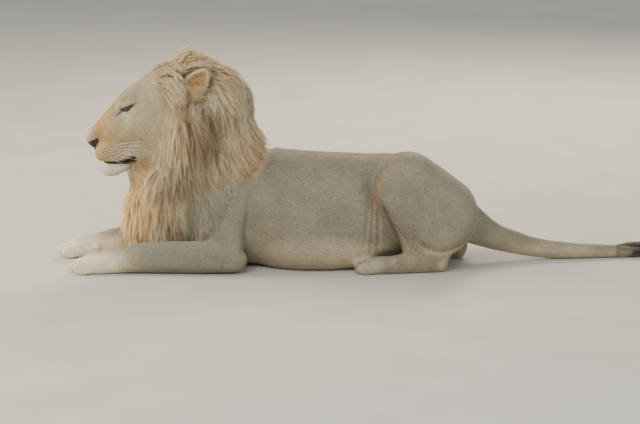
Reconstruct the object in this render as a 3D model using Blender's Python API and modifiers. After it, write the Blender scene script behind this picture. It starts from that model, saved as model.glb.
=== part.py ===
"""A young male lion, life size, lying on its chest with its head up: the solids.

The lion faces -X, +Y is its right side and +Z is up. Flesh and coat are built whole, from lofts along
the limbs and balls for the muscles, which are fused, smoothed and thinned. Thin cuts then part them into
named pieces. All that rests on the floor is cut flat at one level. The origin is the middle of the box,
on the floor.
"""

import math

import bmesh
import bpy
from mathutils import Matrix, Vector

# Driving dimensions, in metres and radians.
GAP = 0.0004                 # between neighbouring solids
SINK = -0.004                # resting flesh is modelled down to here, then cut flat at the floor
EYE_RADIUS = 0.0185
NOSE = Vector((-0.985, 0.0, 0.450))
HEAD_PITCH = math.radians(-26.2)   # the face looks down a little from the raised neck
HEAD_YAW = math.radians(6.0)       # and turns to the lion's left
HEAD_PIVOT = Vector((-0.62, 0.0, 0.55))
VOXEL = 0.006                # the grain of the fused flesh
SMALL_VOXEL = 0.004          # and of the ears and the nose
BODY_TRIANGLES = 4160
SLIVER = 0.016               # edges shorter than this are closed up where a cut left them
FAR = 10.0                   # longer than anything here, for the cutting blocks

LEFT, RIGHT = -1, 1
SIDE_NAME = {LEFT: "left", RIGHT: "right"}

LOCKS_ROUND = 14
MANE_SECTIONS = [            # height, middle x, length, width
    (-0.004, -0.668, 0.26, 0.15),
    (0.060, -0.674, 0.33, 0.21),
    (0.120, -0.672, 0.38, 0.26),
    (0.200, -0.655, 0.43, 0.31),
    (0.280, -0.628, 0.47, 0.35),
    (0.360, -0.598, 0.48, 0.375),
    (0.440, -0.570, 0.48, 0.385),
    (0.520, -0.562, 0.42, 0.375),
    (0.600, -0.572, 0.35, 0.355),
    (0.670, -0.594, 0.28, 0.315),
    (0.720, -0.624, 0.22, 0.250),
    (0.752, -0.648, 0.16, 0.170),
]

CUTS = []                    # every plane that has been cut along, as a point and the way out

COATS = {
    "tawny": ((0.42, 0.30, 0.17), 0.85),
    "mane": ((0.50, 0.37, 0.21), 0.80),
    "pale": ((0.66, 0.57, 0.42), 0.85),
    "dark": ((0.06, 0.045, 0.035), 0.75),
    "leather": ((0.05, 0.035, 0.03), 0.45),
    "amber": ((0.36, 0.19, 0.05), 0.15),
}


# ---------------------------------------------------------------- shapes

def new_object(name, mesh):
    """A mesh as an object in the lion's collection."""
    obj = bpy.data.objects.new(name, mesh)
    LION.objects.link(obj)
    return obj


def catmull(a, b, c, d, t):
    """The smooth value between b and c."""
    square = 2 * a - 5 * b + 4 * c - d
    cube = 3 * b - a - 3 * c + d
    return 0.5 * (2 * b + (c - a) * t + square * t ** 2 + cube * t ** 3)


def smooth_stations(stations, steps):
    """Stations put in between the given ones, on a smooth curve through them."""
    rows = [Vector(s) for s in stations]
    rows = [rows[0] * 2 - rows[1]] + rows + [rows[-1] * 2 - rows[-2]]
    made = []
    for i in range(1, len(rows) - 2):
        made += [
            [catmull(*(rows[i + k][axis] for k in (-1, 0, 1, 2)), step / steps) for axis in range(5)]
            for step in range(steps)
        ]
    return made + [list(rows[-2])]


def ring_of(centre, side, up, width, height, sides, power):
    """Points round one section: a circle at power 2, squarer above it."""
    points = []
    for k in range(sides):
        angle = 2 * math.pi * k / sides
        across, along = math.cos(angle), math.sin(angle)
        across = math.copysign(abs(across) ** (2 / power), across)
        along = math.copysign(abs(along) ** (2 / power), along)
        points.append(centre + side * (across * width / 2) + up * (along * height / 2))
    return points


def loft(stations, power=2.2, sides=20, steps=4, up=Vector((0, 0, 1)), reach=1.0):
    """A closed tube through stations of (x, y, z, width, height).

    A short reach makes its round ends blunt.
    """
    rows = smooth_stations(stations, steps)
    centres = [Vector(row[:3]) for row in rows]
    rings = []
    for i, (centre, row) in enumerate(zip(centres, rows)):
        along = (centres[min(i + 1, len(rows) - 1)] - centres[max(i - 1, 0)]).normalized()
        side = up.cross(along).normalized()
        rings.append((centre, along, side, along.cross(side), max(row[3], 0.004), max(row[4], 0.004)))
    ends = []
    for (centre, along, side, over, width, height), way in ((rings[0], -1), (rings[-1], 1)):
        length = reach * min(width, height) / 2
        end = []
        for angle in (30, 55, 78):
            out, narrow = math.sin(math.radians(angle)), math.cos(math.radians(angle))
            place = centre + along * (way * length * out)
            end.append((place, along, side, over, width * narrow, height * narrow))
        ends.append(end)
    rings = ends[0][::-1] + rings + ends[1]
    bm = bmesh.new()
    loops = [
        [bm.verts.new(p) for p in ring_of(centre, side, over, width, height, sides, power)]
        for centre, _, side, over, width, height in rings
    ]
    for lower, upper in zip(loops, loops[1:]):
        for k in range(sides):
            n = (k + 1) % sides
            bm.faces.new((lower[k], lower[n], upper[n], upper[k]))
    bm.faces.new(loops[0][::-1])
    bm.faces.new(loops[-1])
    bmesh.ops.recalc_face_normals(bm, faces=bm.faces)
    mesh = bpy.data.meshes.new("loft")
    bm.to_mesh(mesh)
    bm.free()
    return new_object("loft", mesh)


def ball(centre, radii, pitch=0.0, yaw=0.0, roll=0.0):
    """An ellipsoid. Pitch is in degrees about Y, yaw about Z and roll about X."""
    bm = bmesh.new()
    bmesh.ops.create_uvsphere(bm, u_segments=24, v_segments=16, radius=1.0)
    turn = (
        Matrix.Rotation(math.radians(yaw), 4, "Z")
        @ Matrix.Rotation(math.radians(pitch), 4, "Y")
        @ Matrix.Rotation(math.radians(roll), 4, "X")
    )
    bm.transform(Matrix.Translation(Vector(centre)) @ turn @ Matrix.Diagonal((*radii, 1.0)))
    mesh = bpy.data.meshes.new("ball")
    bm.to_mesh(mesh)
    bm.free()
    return new_object("ball", mesh)


def both_sides(make, *values, **named):
    """make(side, ...) for the left and for the right."""
    return [make(side, *values, **named) for side in (LEFT, RIGHT)]


def side_ball(side, centre, radii, pitch=0.0, yaw=0.0, roll=0.0):
    """A ball given for the right side, mirrored for the left."""
    x, y, z = centre
    return ball((x, y * side, z), radii, pitch, yaw * side, roll * side)


# ---------------------------------------------------------------- tools

def bake(obj):
    """The object's modifiers made part of its mesh."""
    graph = bpy.context.evaluated_depsgraph_get()
    mesh = bpy.data.meshes.new_from_object(obj.evaluated_get(graph))
    obj.modifiers.clear()
    old, obj.data = obj.data, mesh
    bpy.data.meshes.remove(old)
    return obj


def fuse(name, pieces, voxel, rounds, triangles):
    """The pieces as one smooth closed mesh of about that many triangles."""
    bm = bmesh.new()
    for piece in pieces:
        bm.from_mesh(piece.data)
        bpy.data.objects.remove(piece)
    mesh = bpy.data.meshes.new(name)
    bm.to_mesh(mesh)
    bm.free()
    obj = new_object(name, mesh)
    remesh = obj.modifiers.new("remesh", "REMESH")
    remesh.mode = "VOXEL"
    remesh.voxel_size = voxel
    smooth = obj.modifiers.new("smooth", "SMOOTH")
    smooth.factor = 0.5
    smooth.iterations = rounds
    bake(obj)
    thin = obj.modifiers.new("thin", "DECIMATE")
    thin.ratio = min(1.0, triangles / (2 * len(obj.data.polygons)))
    return bake(obj)


def boolean(obj, other, operation):
    """obj cut by, or kept inside, the other mesh."""
    modifier = obj.modifiers.new("cut", "BOOLEAN")
    modifier.operation = operation
    modifier.solver = "EXACT"
    modifier.object = other
    return bake(obj)


def copy_of(obj, name):
    """The same mesh again, as another object."""
    return new_object(name, obj.data.copy())


def largest_piece(obj):
    """Crumbs that a cut left apart are dropped."""
    bm = bmesh.new()
    bm.from_mesh(obj.data)
    left, islands = set(bm.verts), []
    while left:
        found, edge = set(), [next(iter(left))]
        while edge:
            vert = edge.pop()
            if vert not in found:
                found.add(vert)
                edge += [e.other_vert(vert) for e in vert.link_edges]
        left -= found
        islands.append(found)
    keep = max(islands, key=len)
    bmesh.ops.delete(bm, geom=[v for v in bm.verts if v not in keep], context="VERTS")
    bm.to_mesh(obj.data)
    bm.free()
    return obj


def carve(obj, *others):
    """obj with a pocket cut for each of the others: its hull, a little bigger."""
    for other in others:
        cutter = copy_of(other, "cutter")
        bm = bmesh.new()
        bm.from_mesh(cutter.data)
        found = bmesh.ops.convex_hull(bm, input=bm.verts)
        bmesh.ops.delete(bm, geom=found["geom_interior"] + found["geom_unused"], context="VERTS")
        bmesh.ops.delete(bm, geom=[f for f in bm.faces if f not in found["geom"]], context="FACES")
        bmesh.ops.recalc_face_normals(bm, faces=bm.faces)
        bm.normal_update()
        for vert in bm.verts:
            vert.co += vert.normal * GAP * 2
        bm.to_mesh(cutter.data)
        bm.free()
        boolean(obj, cutter, "DIFFERENCE")
        bpy.data.objects.remove(cutter)
    return largest_piece(obj)


def wedge(planes, grow):
    """The convex block inside all the planes, given as a point and the way out, grown by that much."""
    bm = bmesh.new()
    bmesh.ops.create_cube(bm, size=FAR)
    for point, out in planes:
        out = Vector(out).normalized()
        bmesh.ops.bisect_plane(
            bm, geom=bm.verts[:] + bm.edges[:] + bm.faces[:], dist=1e-6,
            plane_co=Vector(point) + out * grow, plane_no=out, clear_outer=True,
        )
        bmesh.ops.edgeloop_fill(bm, edges=[edge for edge in bm.edges if edge.is_boundary])
    bmesh.ops.recalc_face_normals(bm, faces=bm.faces)
    mesh = bpy.data.meshes.new("wedge")
    bm.to_mesh(mesh)
    bm.free()
    return new_object("wedge", mesh)


def take(obj, name, *planes):
    """Parts what lies inside the planes from obj, with GAP between the two."""
    taken = copy_of(obj, name)
    for piece, grow, operation in ((taken, -GAP / 2, "INTERSECT"), (obj, GAP / 2, "DIFFERENCE")):
        block = wedge(planes, grow)
        boolean(piece, block, operation)
        bpy.data.objects.remove(block)
        largest_piece(piece)
        cuts = [(Vector(point), Vector(out).normalized()) for point, out in planes]
        cuts = [(point + out * grow, out) for point, out in cuts]
        CUTS.extend(cuts)
        merge_slivers(piece, cuts)
    return taken


def planes_through(vert, planes):
    """How many of the planes the vertex lies on."""
    return sum(abs((vert.co - point).dot(out)) < 2e-6 for point, out in planes)


def can_join(edge):
    """Whether the edge can be shrunk to a point and leave the surface whole."""
    one, other = edge.verts
    shared = {e.other_vert(one) for e in one.link_edges} & {e.other_vert(other) for e in other.link_edges}
    triangles = sum(len(face.verts) == 3 for face in edge.link_faces)
    return len(shared) == triangles and len(set(one.link_faces) & set(other.link_faces)) == 2


def merge_slivers(obj, cuts):
    """Short edges that the cuts left in their own planes are closed up. Corners between two cuts stay put."""
    bm = bmesh.new()
    bm.from_mesh(obj.data)
    for _ in range(3):
        used, joined = set(), {}
        for edge in bm.edges:
            one, other = edge.verts
            if edge.calc_length() > SLIVER or not (planes_through(one, cuts) and planes_through(other, cuts)):
                continue
            if planes_through(one, CUTS) > planes_through(other, CUTS):
                one, other = other, one
            faces = {face for face in (*one.link_faces, *other.link_faces) if len(face.verts) < 6}
            near = {vert for face in faces for vert in face.verts}
            if planes_through(one, CUTS) > 1 or near & used or not can_join(edge):
                continue
            used |= near
            joined[one] = other
        if joined:
            bmesh.ops.weld_verts(bm, targetmap=joined)
        if any(len(edge.link_faces) != 2 for edge in bm.edges):
            break
        bm.to_mesh(obj.data)
    bm.free()


# ---------------------------------------------------------------- the lion

def trunk():
    """Chest, belly and rump: one barrel that spreads a little on the floor."""
    top_bottom_width = [
        (-0.700, 0.340, 0.020, 0.25),
        (-0.620, 0.400, SINK, 0.31),
        (-0.500, 0.434, SINK, 0.36),
        (-0.380, 0.440, SINK, 0.39),
        (-0.250, 0.428, SINK, 0.41),
        (-0.100, 0.418, SINK, 0.42),
        (0.050, 0.414, 0.006, 0.40),
        (0.150, 0.416, 0.040, 0.36),
        (0.250, 0.390, 0.070, 0.33),
        (0.330, 0.328, 0.090, 0.29),
        (0.375, 0.270, 0.105, 0.22),
    ]
    barrel = loft(
        [(x, 0.0, (top + bottom) / 2, width, top - bottom) for x, top, bottom, width in top_bottom_width],
        power=2.3, sides=32, reach=0.25,
    )
    belly = ball((-0.140, 0.0, 0.080), (0.300, 0.226, 0.125))
    ribs = both_sides(side_ball, (-0.300, 0.080, 0.240), (0.240, 0.130, 0.180))
    blades = both_sides(side_ball, (-0.440, 0.080, 0.360), (0.120, 0.070, 0.085), pitch=-20)
    return [barrel, belly, *ribs, *blades]


def foreleg(side):
    """Shoulder, forearm and paw, whole. The right paw lies further forward and turned in."""
    near = side == LEFT
    shoulder = loft([
        (-0.450, 0.100 * side, 0.385, 0.08, 0.15),
        (-0.480, 0.140 * side, 0.310, 0.12, 0.22),
        (-0.490, 0.168 * side, 0.210, 0.13, 0.22),
        (-0.478, 0.190 * side, 0.125, 0.12, 0.16),
        (-0.462, 0.205 * side, 0.062, 0.10, 0.11),
    ], up=Vector((-1, 0, 0)), reach=0.8)
    ahead = 0.0 if near else -0.065
    inward = 0.0 if near else -0.11
    reach = [  # x, how far it has turned in, centre height, width, height
        (-0.445, 0.0, 0.056, 0.100, 0.116),
        (-0.550, 0.1, 0.062, 0.112, 0.126),
        (-0.660, 0.3, 0.064, 0.104, 0.120),
        (-0.760, 0.5, 0.065, 0.092, 0.106),
        (-0.835, 0.7, 0.060, 0.084, 0.090),
        (-0.890, 0.8, 0.051, 0.084, 0.082),
        (-0.935, 0.9, 0.042, 0.096, 0.078),
        (-0.985, 1.0, 0.035, 0.104, 0.070),
    ]
    stations = []
    for x, turned, z, width, height in reach:
        y = (0.215 - 0.01 * turned) * side + inward * turned
        stations.append((x + ahead * min(1.0, turned * 1.5), y, z, width, height))
    arm = loft(stations)
    x, y = -0.985 + ahead, 0.205 * side + inward
    toes = []
    for k in range(4):
        place = (x - 0.024 - 0.012 * (1.5 - abs(k - 1.5)), y + (k - 1.5) * 0.0265, 0.024)
        toes.append(ball(place, (0.036, 0.0160, 0.028)))
    dewclaw = ball((x + 0.080, y - 0.040 * side, 0.046), (0.020, 0.012, 0.016))
    return [shoulder, arm, dewclaw, *toes]


def hindleg(side):
    """Thigh, shank and long foot, whole. The rump leans right: that thigh is lower and its foot is tucked."""
    near = side == LEFT
    back = 0.0 if near else 0.075
    drop = 0.0 if near else -0.055
    thigh = [
        side_ball(side, (0.194, 0.150, 0.310 + drop), (0.124, 0.090, 0.130)),
        side_ball(side, (0.248, 0.140, 0.258 + drop), (0.134, 0.098, 0.134)),
        side_ball(side, (0.304, 0.128, 0.206 + drop / 2), (0.142, 0.100, 0.140)),
        side_ball(side, (0.230, 0.160, 0.200 + drop / 2), (0.100, 0.085, 0.110)),
    ]
    tuck = 0.0 if near else 0.11
    shank = loft([
        (0.130, 0.200 * side, 0.270 + drop, 0.09, 0.120),
        (0.165, (0.204 - tuck * 0.3) * side, 0.190 + drop / 2, 0.09, 0.120),
        (0.220 + back / 2, (0.200 - tuck * 0.7) * side, 0.115, 0.08, 0.105),
        (0.285 + back, (0.192 - tuck) * side, 0.066, 0.07, 0.085),
    ], up=Vector((1, 0, 0)))
    foot = loft([
        (0.320 + back, (0.178 - tuck) * side, 0.037, 0.062, 0.078),
        (0.250 + back, (0.190 - tuck * 0.8) * side, 0.037, 0.064, 0.080),
        (0.180 + back, (0.200 - tuck * 0.5) * side, 0.033, 0.070, 0.072),
        (0.110 + back, (0.206 - tuck * 0.2) * side, 0.030, 0.080, 0.066),
        (0.055 + back, 0.210 * side, 0.027, 0.090, 0.060),
    ], reach=0.8)
    toes = []
    for k in range(4):
        place = (0.030 + back - 0.010 * (1.5 - abs(k - 1.5)), 0.210 * side + (k - 1.5) * 0.0235, 0.021)
        toes.append(ball(place, (0.032, 0.0145, 0.025)))
    return [*thigh, shank, foot, *toes]


def tail():
    """A thick root that drops to the floor, the long switch and its tuft."""
    return [loft([
        (0.330, 0.000, 0.210, 0.140, 0.190),
        (0.400, 0.006, 0.165, 0.130, 0.165),
        (0.470, 0.016, 0.122, 0.108, 0.128),
        (0.540, 0.028, 0.088, 0.084, 0.098),
        (0.620, 0.042, 0.060, 0.068, 0.080),
        (0.700, 0.054, 0.041, 0.060, 0.068),
        (0.790, 0.064, 0.030, 0.055, 0.062),
        (0.880, 0.074, 0.025, 0.050, 0.054),
        (0.970, 0.086, 0.022, 0.046, 0.048),
        (1.010, 0.095, 0.022, 0.050, 0.048),
        (1.060, 0.106, 0.026, 0.068, 0.058),
        (1.110, 0.118, 0.027, 0.064, 0.058),
        (1.150, 0.128, 0.020, 0.032, 0.034),
    ], power=2.0)]


def mane():
    """Neck, chest and crown out to the tips of the hair: sections one above another, with hanging locks."""
    body = loft(
        [(x, 0.0, z, width, length) for z, x, length, width in MANE_SECTIONS],
        up=Vector((-1, 0, 0)), power=2.1, sides=28, reach=0.35,
    )
    crest = loft([
        (-0.735, 0.0, 0.732, 0.070, 0.040),
        (-0.700, 0.0, 0.762, 0.100, 0.060),
        (-0.650, 0.0, 0.770, 0.120, 0.066),
        (-0.590, 0.0, 0.748, 0.110, 0.070),
        (-0.540, 0.0, 0.715, 0.060, 0.040),
    ])
    ruffs = both_sides(side_ball, (-0.665, 0.128, 0.500), (0.090, 0.062, 0.150), pitch=12)
    beards = both_sides(side_ball, (-0.735, 0.070, 0.345), (0.085, 0.070, 0.090), pitch=20)
    return [body, crest, *ruffs, *beards, *mane_locks()]


def on_mane(height, angle, out):
    """A point out from the mane's surface. The angle runs round from the back of the neck."""
    below = max((row for row in MANE_SECTIONS if row[0] <= height), key=lambda row: row[0])
    above = min((row for row in MANE_SECTIONS if row[0] > height), key=lambda row: row[0])
    share = (height - below[0]) / (above[0] - below[0])
    x, length, width = (below[k] + (above[k] - below[k]) * share for k in (1, 2, 3))
    return (x + (length / 2 + out) * math.cos(angle), (width / 2 + out) * math.sin(angle), height)


def mane_locks():
    """Rows of big locks that hang down the neck, each row half a step on from the one above."""
    locks = []
    for row, height in enumerate((0.69, 0.60, 0.51, 0.42, 0.33, 0.24)):
        for k in range(LOCKS_ROUND):
            angle = 2 * math.pi * (k + 0.5 * (row % 2)) / LOCKS_ROUND
            swing = -0.18 * math.sin(angle)
            places = (
                on_mane(height, angle, -0.012),
                on_mane(height - 0.060, angle + swing / 2, 0.002),
                on_mane(height - 0.125, angle + swing, 0.006),
                on_mane(height - 0.165, angle + swing * 1.4, 0.002),
            )
            sizes = ((0.050, 0.020), (0.062, 0.026), (0.042, 0.022), (0.012, 0.010))
            across = Vector((math.cos(angle), math.sin(angle), 0.0))
            locks.append(loft(
                [(*place, *size) for place, size in zip(places, sizes)], sides=12, steps=3, up=across,
            ))
    return locks


# ---------------------------------------------------------------- the head
# The head is modelled level, with the tip of the nose at the origin and the face along -X.
# It is then raised and turned.

def to_head(*pieces):
    """Places pieces that were modelled in the head's own level frame."""
    raised = Matrix.Translation(NOSE) @ Matrix.Rotation(HEAD_PITCH, 4, "Y")
    turned = Matrix.Rotation(HEAD_YAW, 4, "Z")
    turned = Matrix.Translation(HEAD_PIVOT) @ turned @ Matrix.Translation(-HEAD_PIVOT)
    for piece in pieces:
        piece.data.transform(turned @ raised)
    return pieces


def skull():
    """Forehead, bridge, cheeks and upper lips."""
    profile = [  # back from the nose: top, bottom, width
        (0.004, 0.044, -0.030, 0.070),
        (0.020, 0.058, -0.064, 0.108),
        (0.050, 0.069, -0.094, 0.132),
        (0.090, 0.080, -0.108, 0.142),
        (0.130, 0.096, -0.112, 0.160),
        (0.170, 0.117, -0.116, 0.192),
        (0.210, 0.133, -0.120, 0.222),
        (0.260, 0.144, -0.128, 0.244),
        (0.310, 0.149, -0.132, 0.250),
        (0.370, 0.140, -0.130, 0.230),
    ]
    body = loft(
        [(x, 0.0, (top + bottom) / 2, width, top - bottom) for x, top, bottom, width in profile],
        power=2.4, sides=28, reach=0.3,
    )
    cheeks = both_sides(side_ball, (0.250, 0.080, -0.035), (0.095, 0.050, 0.090))
    brows = both_sides(side_ball, (0.208, 0.054, 0.100), (0.046, 0.034, 0.028), pitch=-12)
    temples = both_sides(side_ball, (0.285, 0.060, 0.095), (0.080, 0.052, 0.046))
    pads = both_sides(side_ball, (0.056, 0.040, -0.050), (0.047, 0.035, 0.044))
    return [body, *cheeks, *brows, *temples, *pads]


def jaw():
    """The lower jaw and the beard on the chin."""
    bone = loft([
        (0.200, 0.0, -0.135, 0.170, 0.080),
        (0.130, 0.0, -0.135, 0.125, 0.075),
        (0.070, 0.0, -0.128, 0.092, 0.068),
        (0.024, 0.0, -0.110, 0.070, 0.062),
        (0.008, 0.0, -0.096, 0.054, 0.044),
    ], reach=0.5)
    beard = ball((0.034, 0.0, -0.130), (0.036, 0.032, 0.028))
    return [bone, beard]


def nose():
    """The leather, wide at the top and narrow at the lip."""
    return fuse("nose", to_head(
        ball((0.011, 0.0, 0.026), (0.020, 0.033, 0.016)),
        ball((0.010, 0.0, 0.008), (0.015, 0.020, 0.024)),
    ), SMALL_VOXEL, 3, 150)


def eye(side):
    """One eyeball, deep under the brow."""
    name = "eye_" + SIDE_NAME[side]
    bpy.ops.mesh.primitive_uv_sphere_add(segments=12, ring_count=7, radius=EYE_RADIUS)
    made = bpy.context.object
    made.name = name
    made.data.transform(Matrix.Translation((0.184, 0.079 * side, 0.068)))
    for collection in list(made.users_collection):
        collection.objects.unlink(made)
    LION.objects.link(made)
    return to_head(made)[0]


def ear(side):
    """A round cupped ear that looks forward and out."""
    outer = side_ball(side, (0.0, 0.0, 0.0), (0.032, 0.052, 0.062))
    hollow = side_ball(side, (-0.030, 0.004, 0.016), (0.028, 0.036, 0.042))
    cup = boolean(outer, hollow, "DIFFERENCE")
    bpy.data.objects.remove(hollow)
    root = side_ball(side, (0.006, -0.004, -0.036), (0.030, 0.040, 0.038))
    made = fuse("ear_" + SIDE_NAME[side], [cup, root], SMALL_VOXEL, 5, 220)
    made.data.transform(
        Matrix.Translation((-0.598, 0.128 * side, 0.690))
        @ Matrix.Rotation(math.radians(38) * side, 4, "Z")
        @ Matrix.Rotation(math.radians(22), 4, "Y")
        @ Matrix.Rotation(math.radians(-24) * side, 4, "X")
    )
    return made


# ---------------------------------------------------------------- cutting into parts

def whole_lion():
    """All the flesh and coat but the ears, nose and eyes, cut flat at the floor."""
    pieces = [*trunk(), *tail(), *mane(), *to_head(*skull(), *jaw())]
    for side in (LEFT, RIGHT):
        pieces += [*foreleg(side), *hindleg(side)]
    lion = fuse("lion", pieces, VOXEL, 4, BODY_TRIANGLES)
    block = wedge([((0.0, 0.0, 0.0), (0.0, 0.0, 1.0))], 0.0)
    boolean(lion, block, "DIFFERENCE")
    bpy.data.objects.remove(block)
    CUTS.append((Vector((0.0, 0.0, 0.0)), Vector((0.0, 0.0, 1.0))))
    return lion


def part_forelegs(lion):
    """Paws, cut at the wrist, and forearms, cut at the elbow."""
    paw_top = ((0, 0, 0.200), (0, 0, 1))
    arm_top = ((0, 0, 0.128), (0, 0, 1))
    elbow = ((-0.500, 0, 0), (1, 0, 0))
    between = (0, -0.06, 0)
    return [
        take(lion, "forepaw_left", paw_top, (between, (0, 1, 0)), ((-0.885, 0, 0), (1, 0, 0.15))),
        take(lion, "forepaw_right", paw_top, (between, (0, -1, 0)), ((-0.945, 0, 0), (1, 0, 0.15))),
        take(lion, "forearm_left", arm_top, ((0, -0.125, 0), (0, 1, 0)), elbow),
        take(lion, "forearm_right", arm_top, ((-0.500, 0.125, 0), (0.2, -1, 0)), elbow),
    ]


def part_hindlegs(lion):
    """Feet, shanks and thighs."""
    pieces = []
    for side in (LEFT, RIGHT):
        name = SIDE_NAME[side]
        inside = ((0.05, -0.150, 0), (0, 1, 0))
        if side == RIGHT:
            inside = ((0.13, 0.160, 0), (-0.45, -1, 0))
        behind = ((0.0, 0, 0), (-1, 0, 0))
        knee = ((0.083, 0, 0), (-1, 0, 0))
        pieces.append(take(lion, "hind_paw_" + name, ((0, 0, 0.076), (0.12, 0, 1)), inside, behind))
        inward = ((0.10, 0.115 * side, 0), (-0.14, -side, 0))
        pieces.append(take(lion, "shank_" + name, ((0.10, 0, 0.200), (0.50, 0, 1)), inward, knee))
        rump = ((0.47, 0, 0), (1, 0, 0))
        pieces.append(take(lion, "thigh_" + name, inward, knee, rump))
    return pieces


def part_front(lion):
    """Jaw, face, crown, neck, chest mane and upper arms."""
    above = ((-0.84, 0, 0.318), (0.08, 0, -1))
    pieces = [
        take(lion, "lower_jaw", ((-0.957, 0, 0.3815), (-0.18, 0, 1)), ((-0.805, 0, 0), (1, 0, 0)), above),
        take(lion, "head", ((-0.700, 0, 0.760), (0.985, 0, -0.172)), above),
        take(lion, "mane_crown", ((-0.60, 0, 0.600), (-0.25, 0, -1))),
        take(lion, "mane_neck", above, ((-0.325, 0, 0.440), (0.881, 0, -0.472))),
    ]
    for side in (LEFT, RIGHT):
        pieces.append(take(
            lion, "upper_arm_" + SIDE_NAME[side],
            ((0, 0.125 * side, 0), (0, -side, 0)), ((-0.385, 0, 0), (1, 0, 0)), ((-0.64, 0, 0), (-1, 0, 0)),
        ))
    pieces.append(take(lion, "mane_chest", ((-0.560, 0, 0.15), (1, 0, -0.3))))
    return pieces


def part_rest(lion):
    """Tail, chest, loin and hindquarters."""
    return [
        take(lion, "tail_tuft", ((1.015, 0, 0), (-1, -0.12, 0))),
        take(lion, "tail_middle", ((0.600, 0, 0), (-1, -0.12, 0.25))),
        take(lion, "tail_base", ((0.405, 0, 0.2), (-1, 0, 0.35))),
        take(lion, "chest", ((-0.190, 0, 0.2), (1, 0, -0.20))),
        take(lion, "hindquarters", ((0.120, 0, 0.2), (-1, 0, -0.15))),
        rename(lion, "loin"),
    ]


def rename(obj, name):
    """The object and its mesh under another name."""
    obj.name = name
    obj.data.name = name
    return obj


def fit_small_parts(small, others):
    """Room is cut round the eyes, nose and ears in whatever they are set into."""
    for piece in others:
        near = [part for part in small if boxes_touch(piece, part)]
        if near:
            carve(piece, *near)


def boxes_touch(one, other):
    """Whether the boxes round two parts meet."""
    corners = [[Vector(corner) for corner in obj.bound_box] for obj in (one, other)]
    return all(
        min(c[axis] for c in corners[0]) < max(c[axis] for c in corners[1]) + GAP
        and min(c[axis] for c in corners[1]) < max(c[axis] for c in corners[0]) + GAP
        for axis in range(3)
    )


def centre(parts):
    """The middle of the box goes to the origin, its bottom staying on the floor."""
    points = [vert.co for piece in parts for vert in piece.data.vertices]
    middle = [(min(p[axis] for p in points) + max(p[axis] for p in points)) / 2 for axis in (0, 1)]
    for piece in parts:
        piece.data.transform(Matrix.Translation((-middle[0], -middle[1], 0.0)))


def paint(piece, coat):
    """The part's own material, in one of the coat's colours."""
    colour, roughness = COATS[coat]
    material = bpy.data.materials.new(piece.name + "_" + coat)
    material.use_nodes = True
    shader = material.node_tree.nodes["Principled BSDF"]
    shader.inputs["Base Color"].default_value = (*colour, 1.0)
    shader.inputs["Roughness"].default_value = roughness
    piece.data.materials.clear()
    piece.data.materials.append(material)


def main():
    small = [*both_sides(eye), nose(), *both_sides(ear)]
    lion = whole_lion()
    parts = [*part_forelegs(lion), *part_hindlegs(lion), *part_front(lion), *part_rest(lion)]
    fit_small_parts(small, parts)
    parts += small
    centre(parts)
    coats = {"mane_crown": "mane", "mane_neck": "mane", "mane_chest": "mane", "tail_tuft": "dark",
             "lower_jaw": "pale", "nose": "leather", "eye_left": "amber", "eye_right": "amber"}
    for piece in parts:
        paint(piece, coats.get(piece.name, "tawny"))


LION = bpy.data.collections.new("lion")
for existing in list(bpy.data.objects):
    bpy.data.objects.remove(existing)
bpy.context.scene.collection.children.link(LION)
main()
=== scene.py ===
"""A young male lion lying with its head up: skin, coat, mane, eyes, light and camera.

The skin is one surface, taken from a volume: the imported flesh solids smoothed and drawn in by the
depth of the coat, with a head and paws modelled as blended rounded shapes.  Tufts and locks of hair
are then set on that skin.
"""

import copy
import itertools
import math

import bmesh
import bpy
import numpy as np
import openvdb
from mathutils import Matrix, Vector, kdtree


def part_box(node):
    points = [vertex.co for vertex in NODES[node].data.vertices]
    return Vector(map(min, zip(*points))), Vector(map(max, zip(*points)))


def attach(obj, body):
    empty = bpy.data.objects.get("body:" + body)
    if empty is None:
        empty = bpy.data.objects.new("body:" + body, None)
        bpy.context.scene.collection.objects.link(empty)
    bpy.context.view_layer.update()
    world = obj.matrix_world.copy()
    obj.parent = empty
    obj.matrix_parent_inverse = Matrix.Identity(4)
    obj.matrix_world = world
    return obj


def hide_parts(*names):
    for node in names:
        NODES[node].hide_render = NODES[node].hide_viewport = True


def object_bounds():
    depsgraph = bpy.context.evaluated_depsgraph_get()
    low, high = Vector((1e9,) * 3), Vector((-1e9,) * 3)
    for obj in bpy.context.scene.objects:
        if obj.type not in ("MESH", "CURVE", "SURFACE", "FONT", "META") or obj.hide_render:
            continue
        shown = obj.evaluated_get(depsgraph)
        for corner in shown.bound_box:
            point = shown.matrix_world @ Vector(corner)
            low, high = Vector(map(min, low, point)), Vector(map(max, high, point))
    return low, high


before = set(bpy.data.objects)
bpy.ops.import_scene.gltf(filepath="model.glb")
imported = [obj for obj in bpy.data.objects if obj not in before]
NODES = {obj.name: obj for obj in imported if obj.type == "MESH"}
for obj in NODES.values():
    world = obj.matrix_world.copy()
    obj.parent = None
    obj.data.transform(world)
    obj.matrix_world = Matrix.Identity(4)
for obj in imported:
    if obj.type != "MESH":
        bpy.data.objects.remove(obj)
CAD_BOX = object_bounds()

VOXEL = 0.005
LEFT, RIGHT = -1, 1
SIDES = {"left": LEFT, "right": RIGHT}
EYE_NODES = ("eye_left", "eye_right")
HEAD_NODES = ("head", "lower_jaw", "ear_left", "ear_right")
MANE_NODES = ("mane_crown", "mane_neck", "mane_chest")
SKIN_NODES = [name for name in NODES if name not in (*EYE_NODES, "nose")]


# -------- arithmetic

def unit(vectors):
    """Vectors at length one."""
    vectors = np.asarray(vectors, dtype=np.float64)
    return vectors / np.maximum(np.linalg.norm(vectors, axis=-1, keepdims=True), 1e-9)


def halved(points):
    """The x of points, their distance from the middle plane, and their z."""
    return points[..., 0], np.abs(points[..., 1]), points[..., 2]


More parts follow.
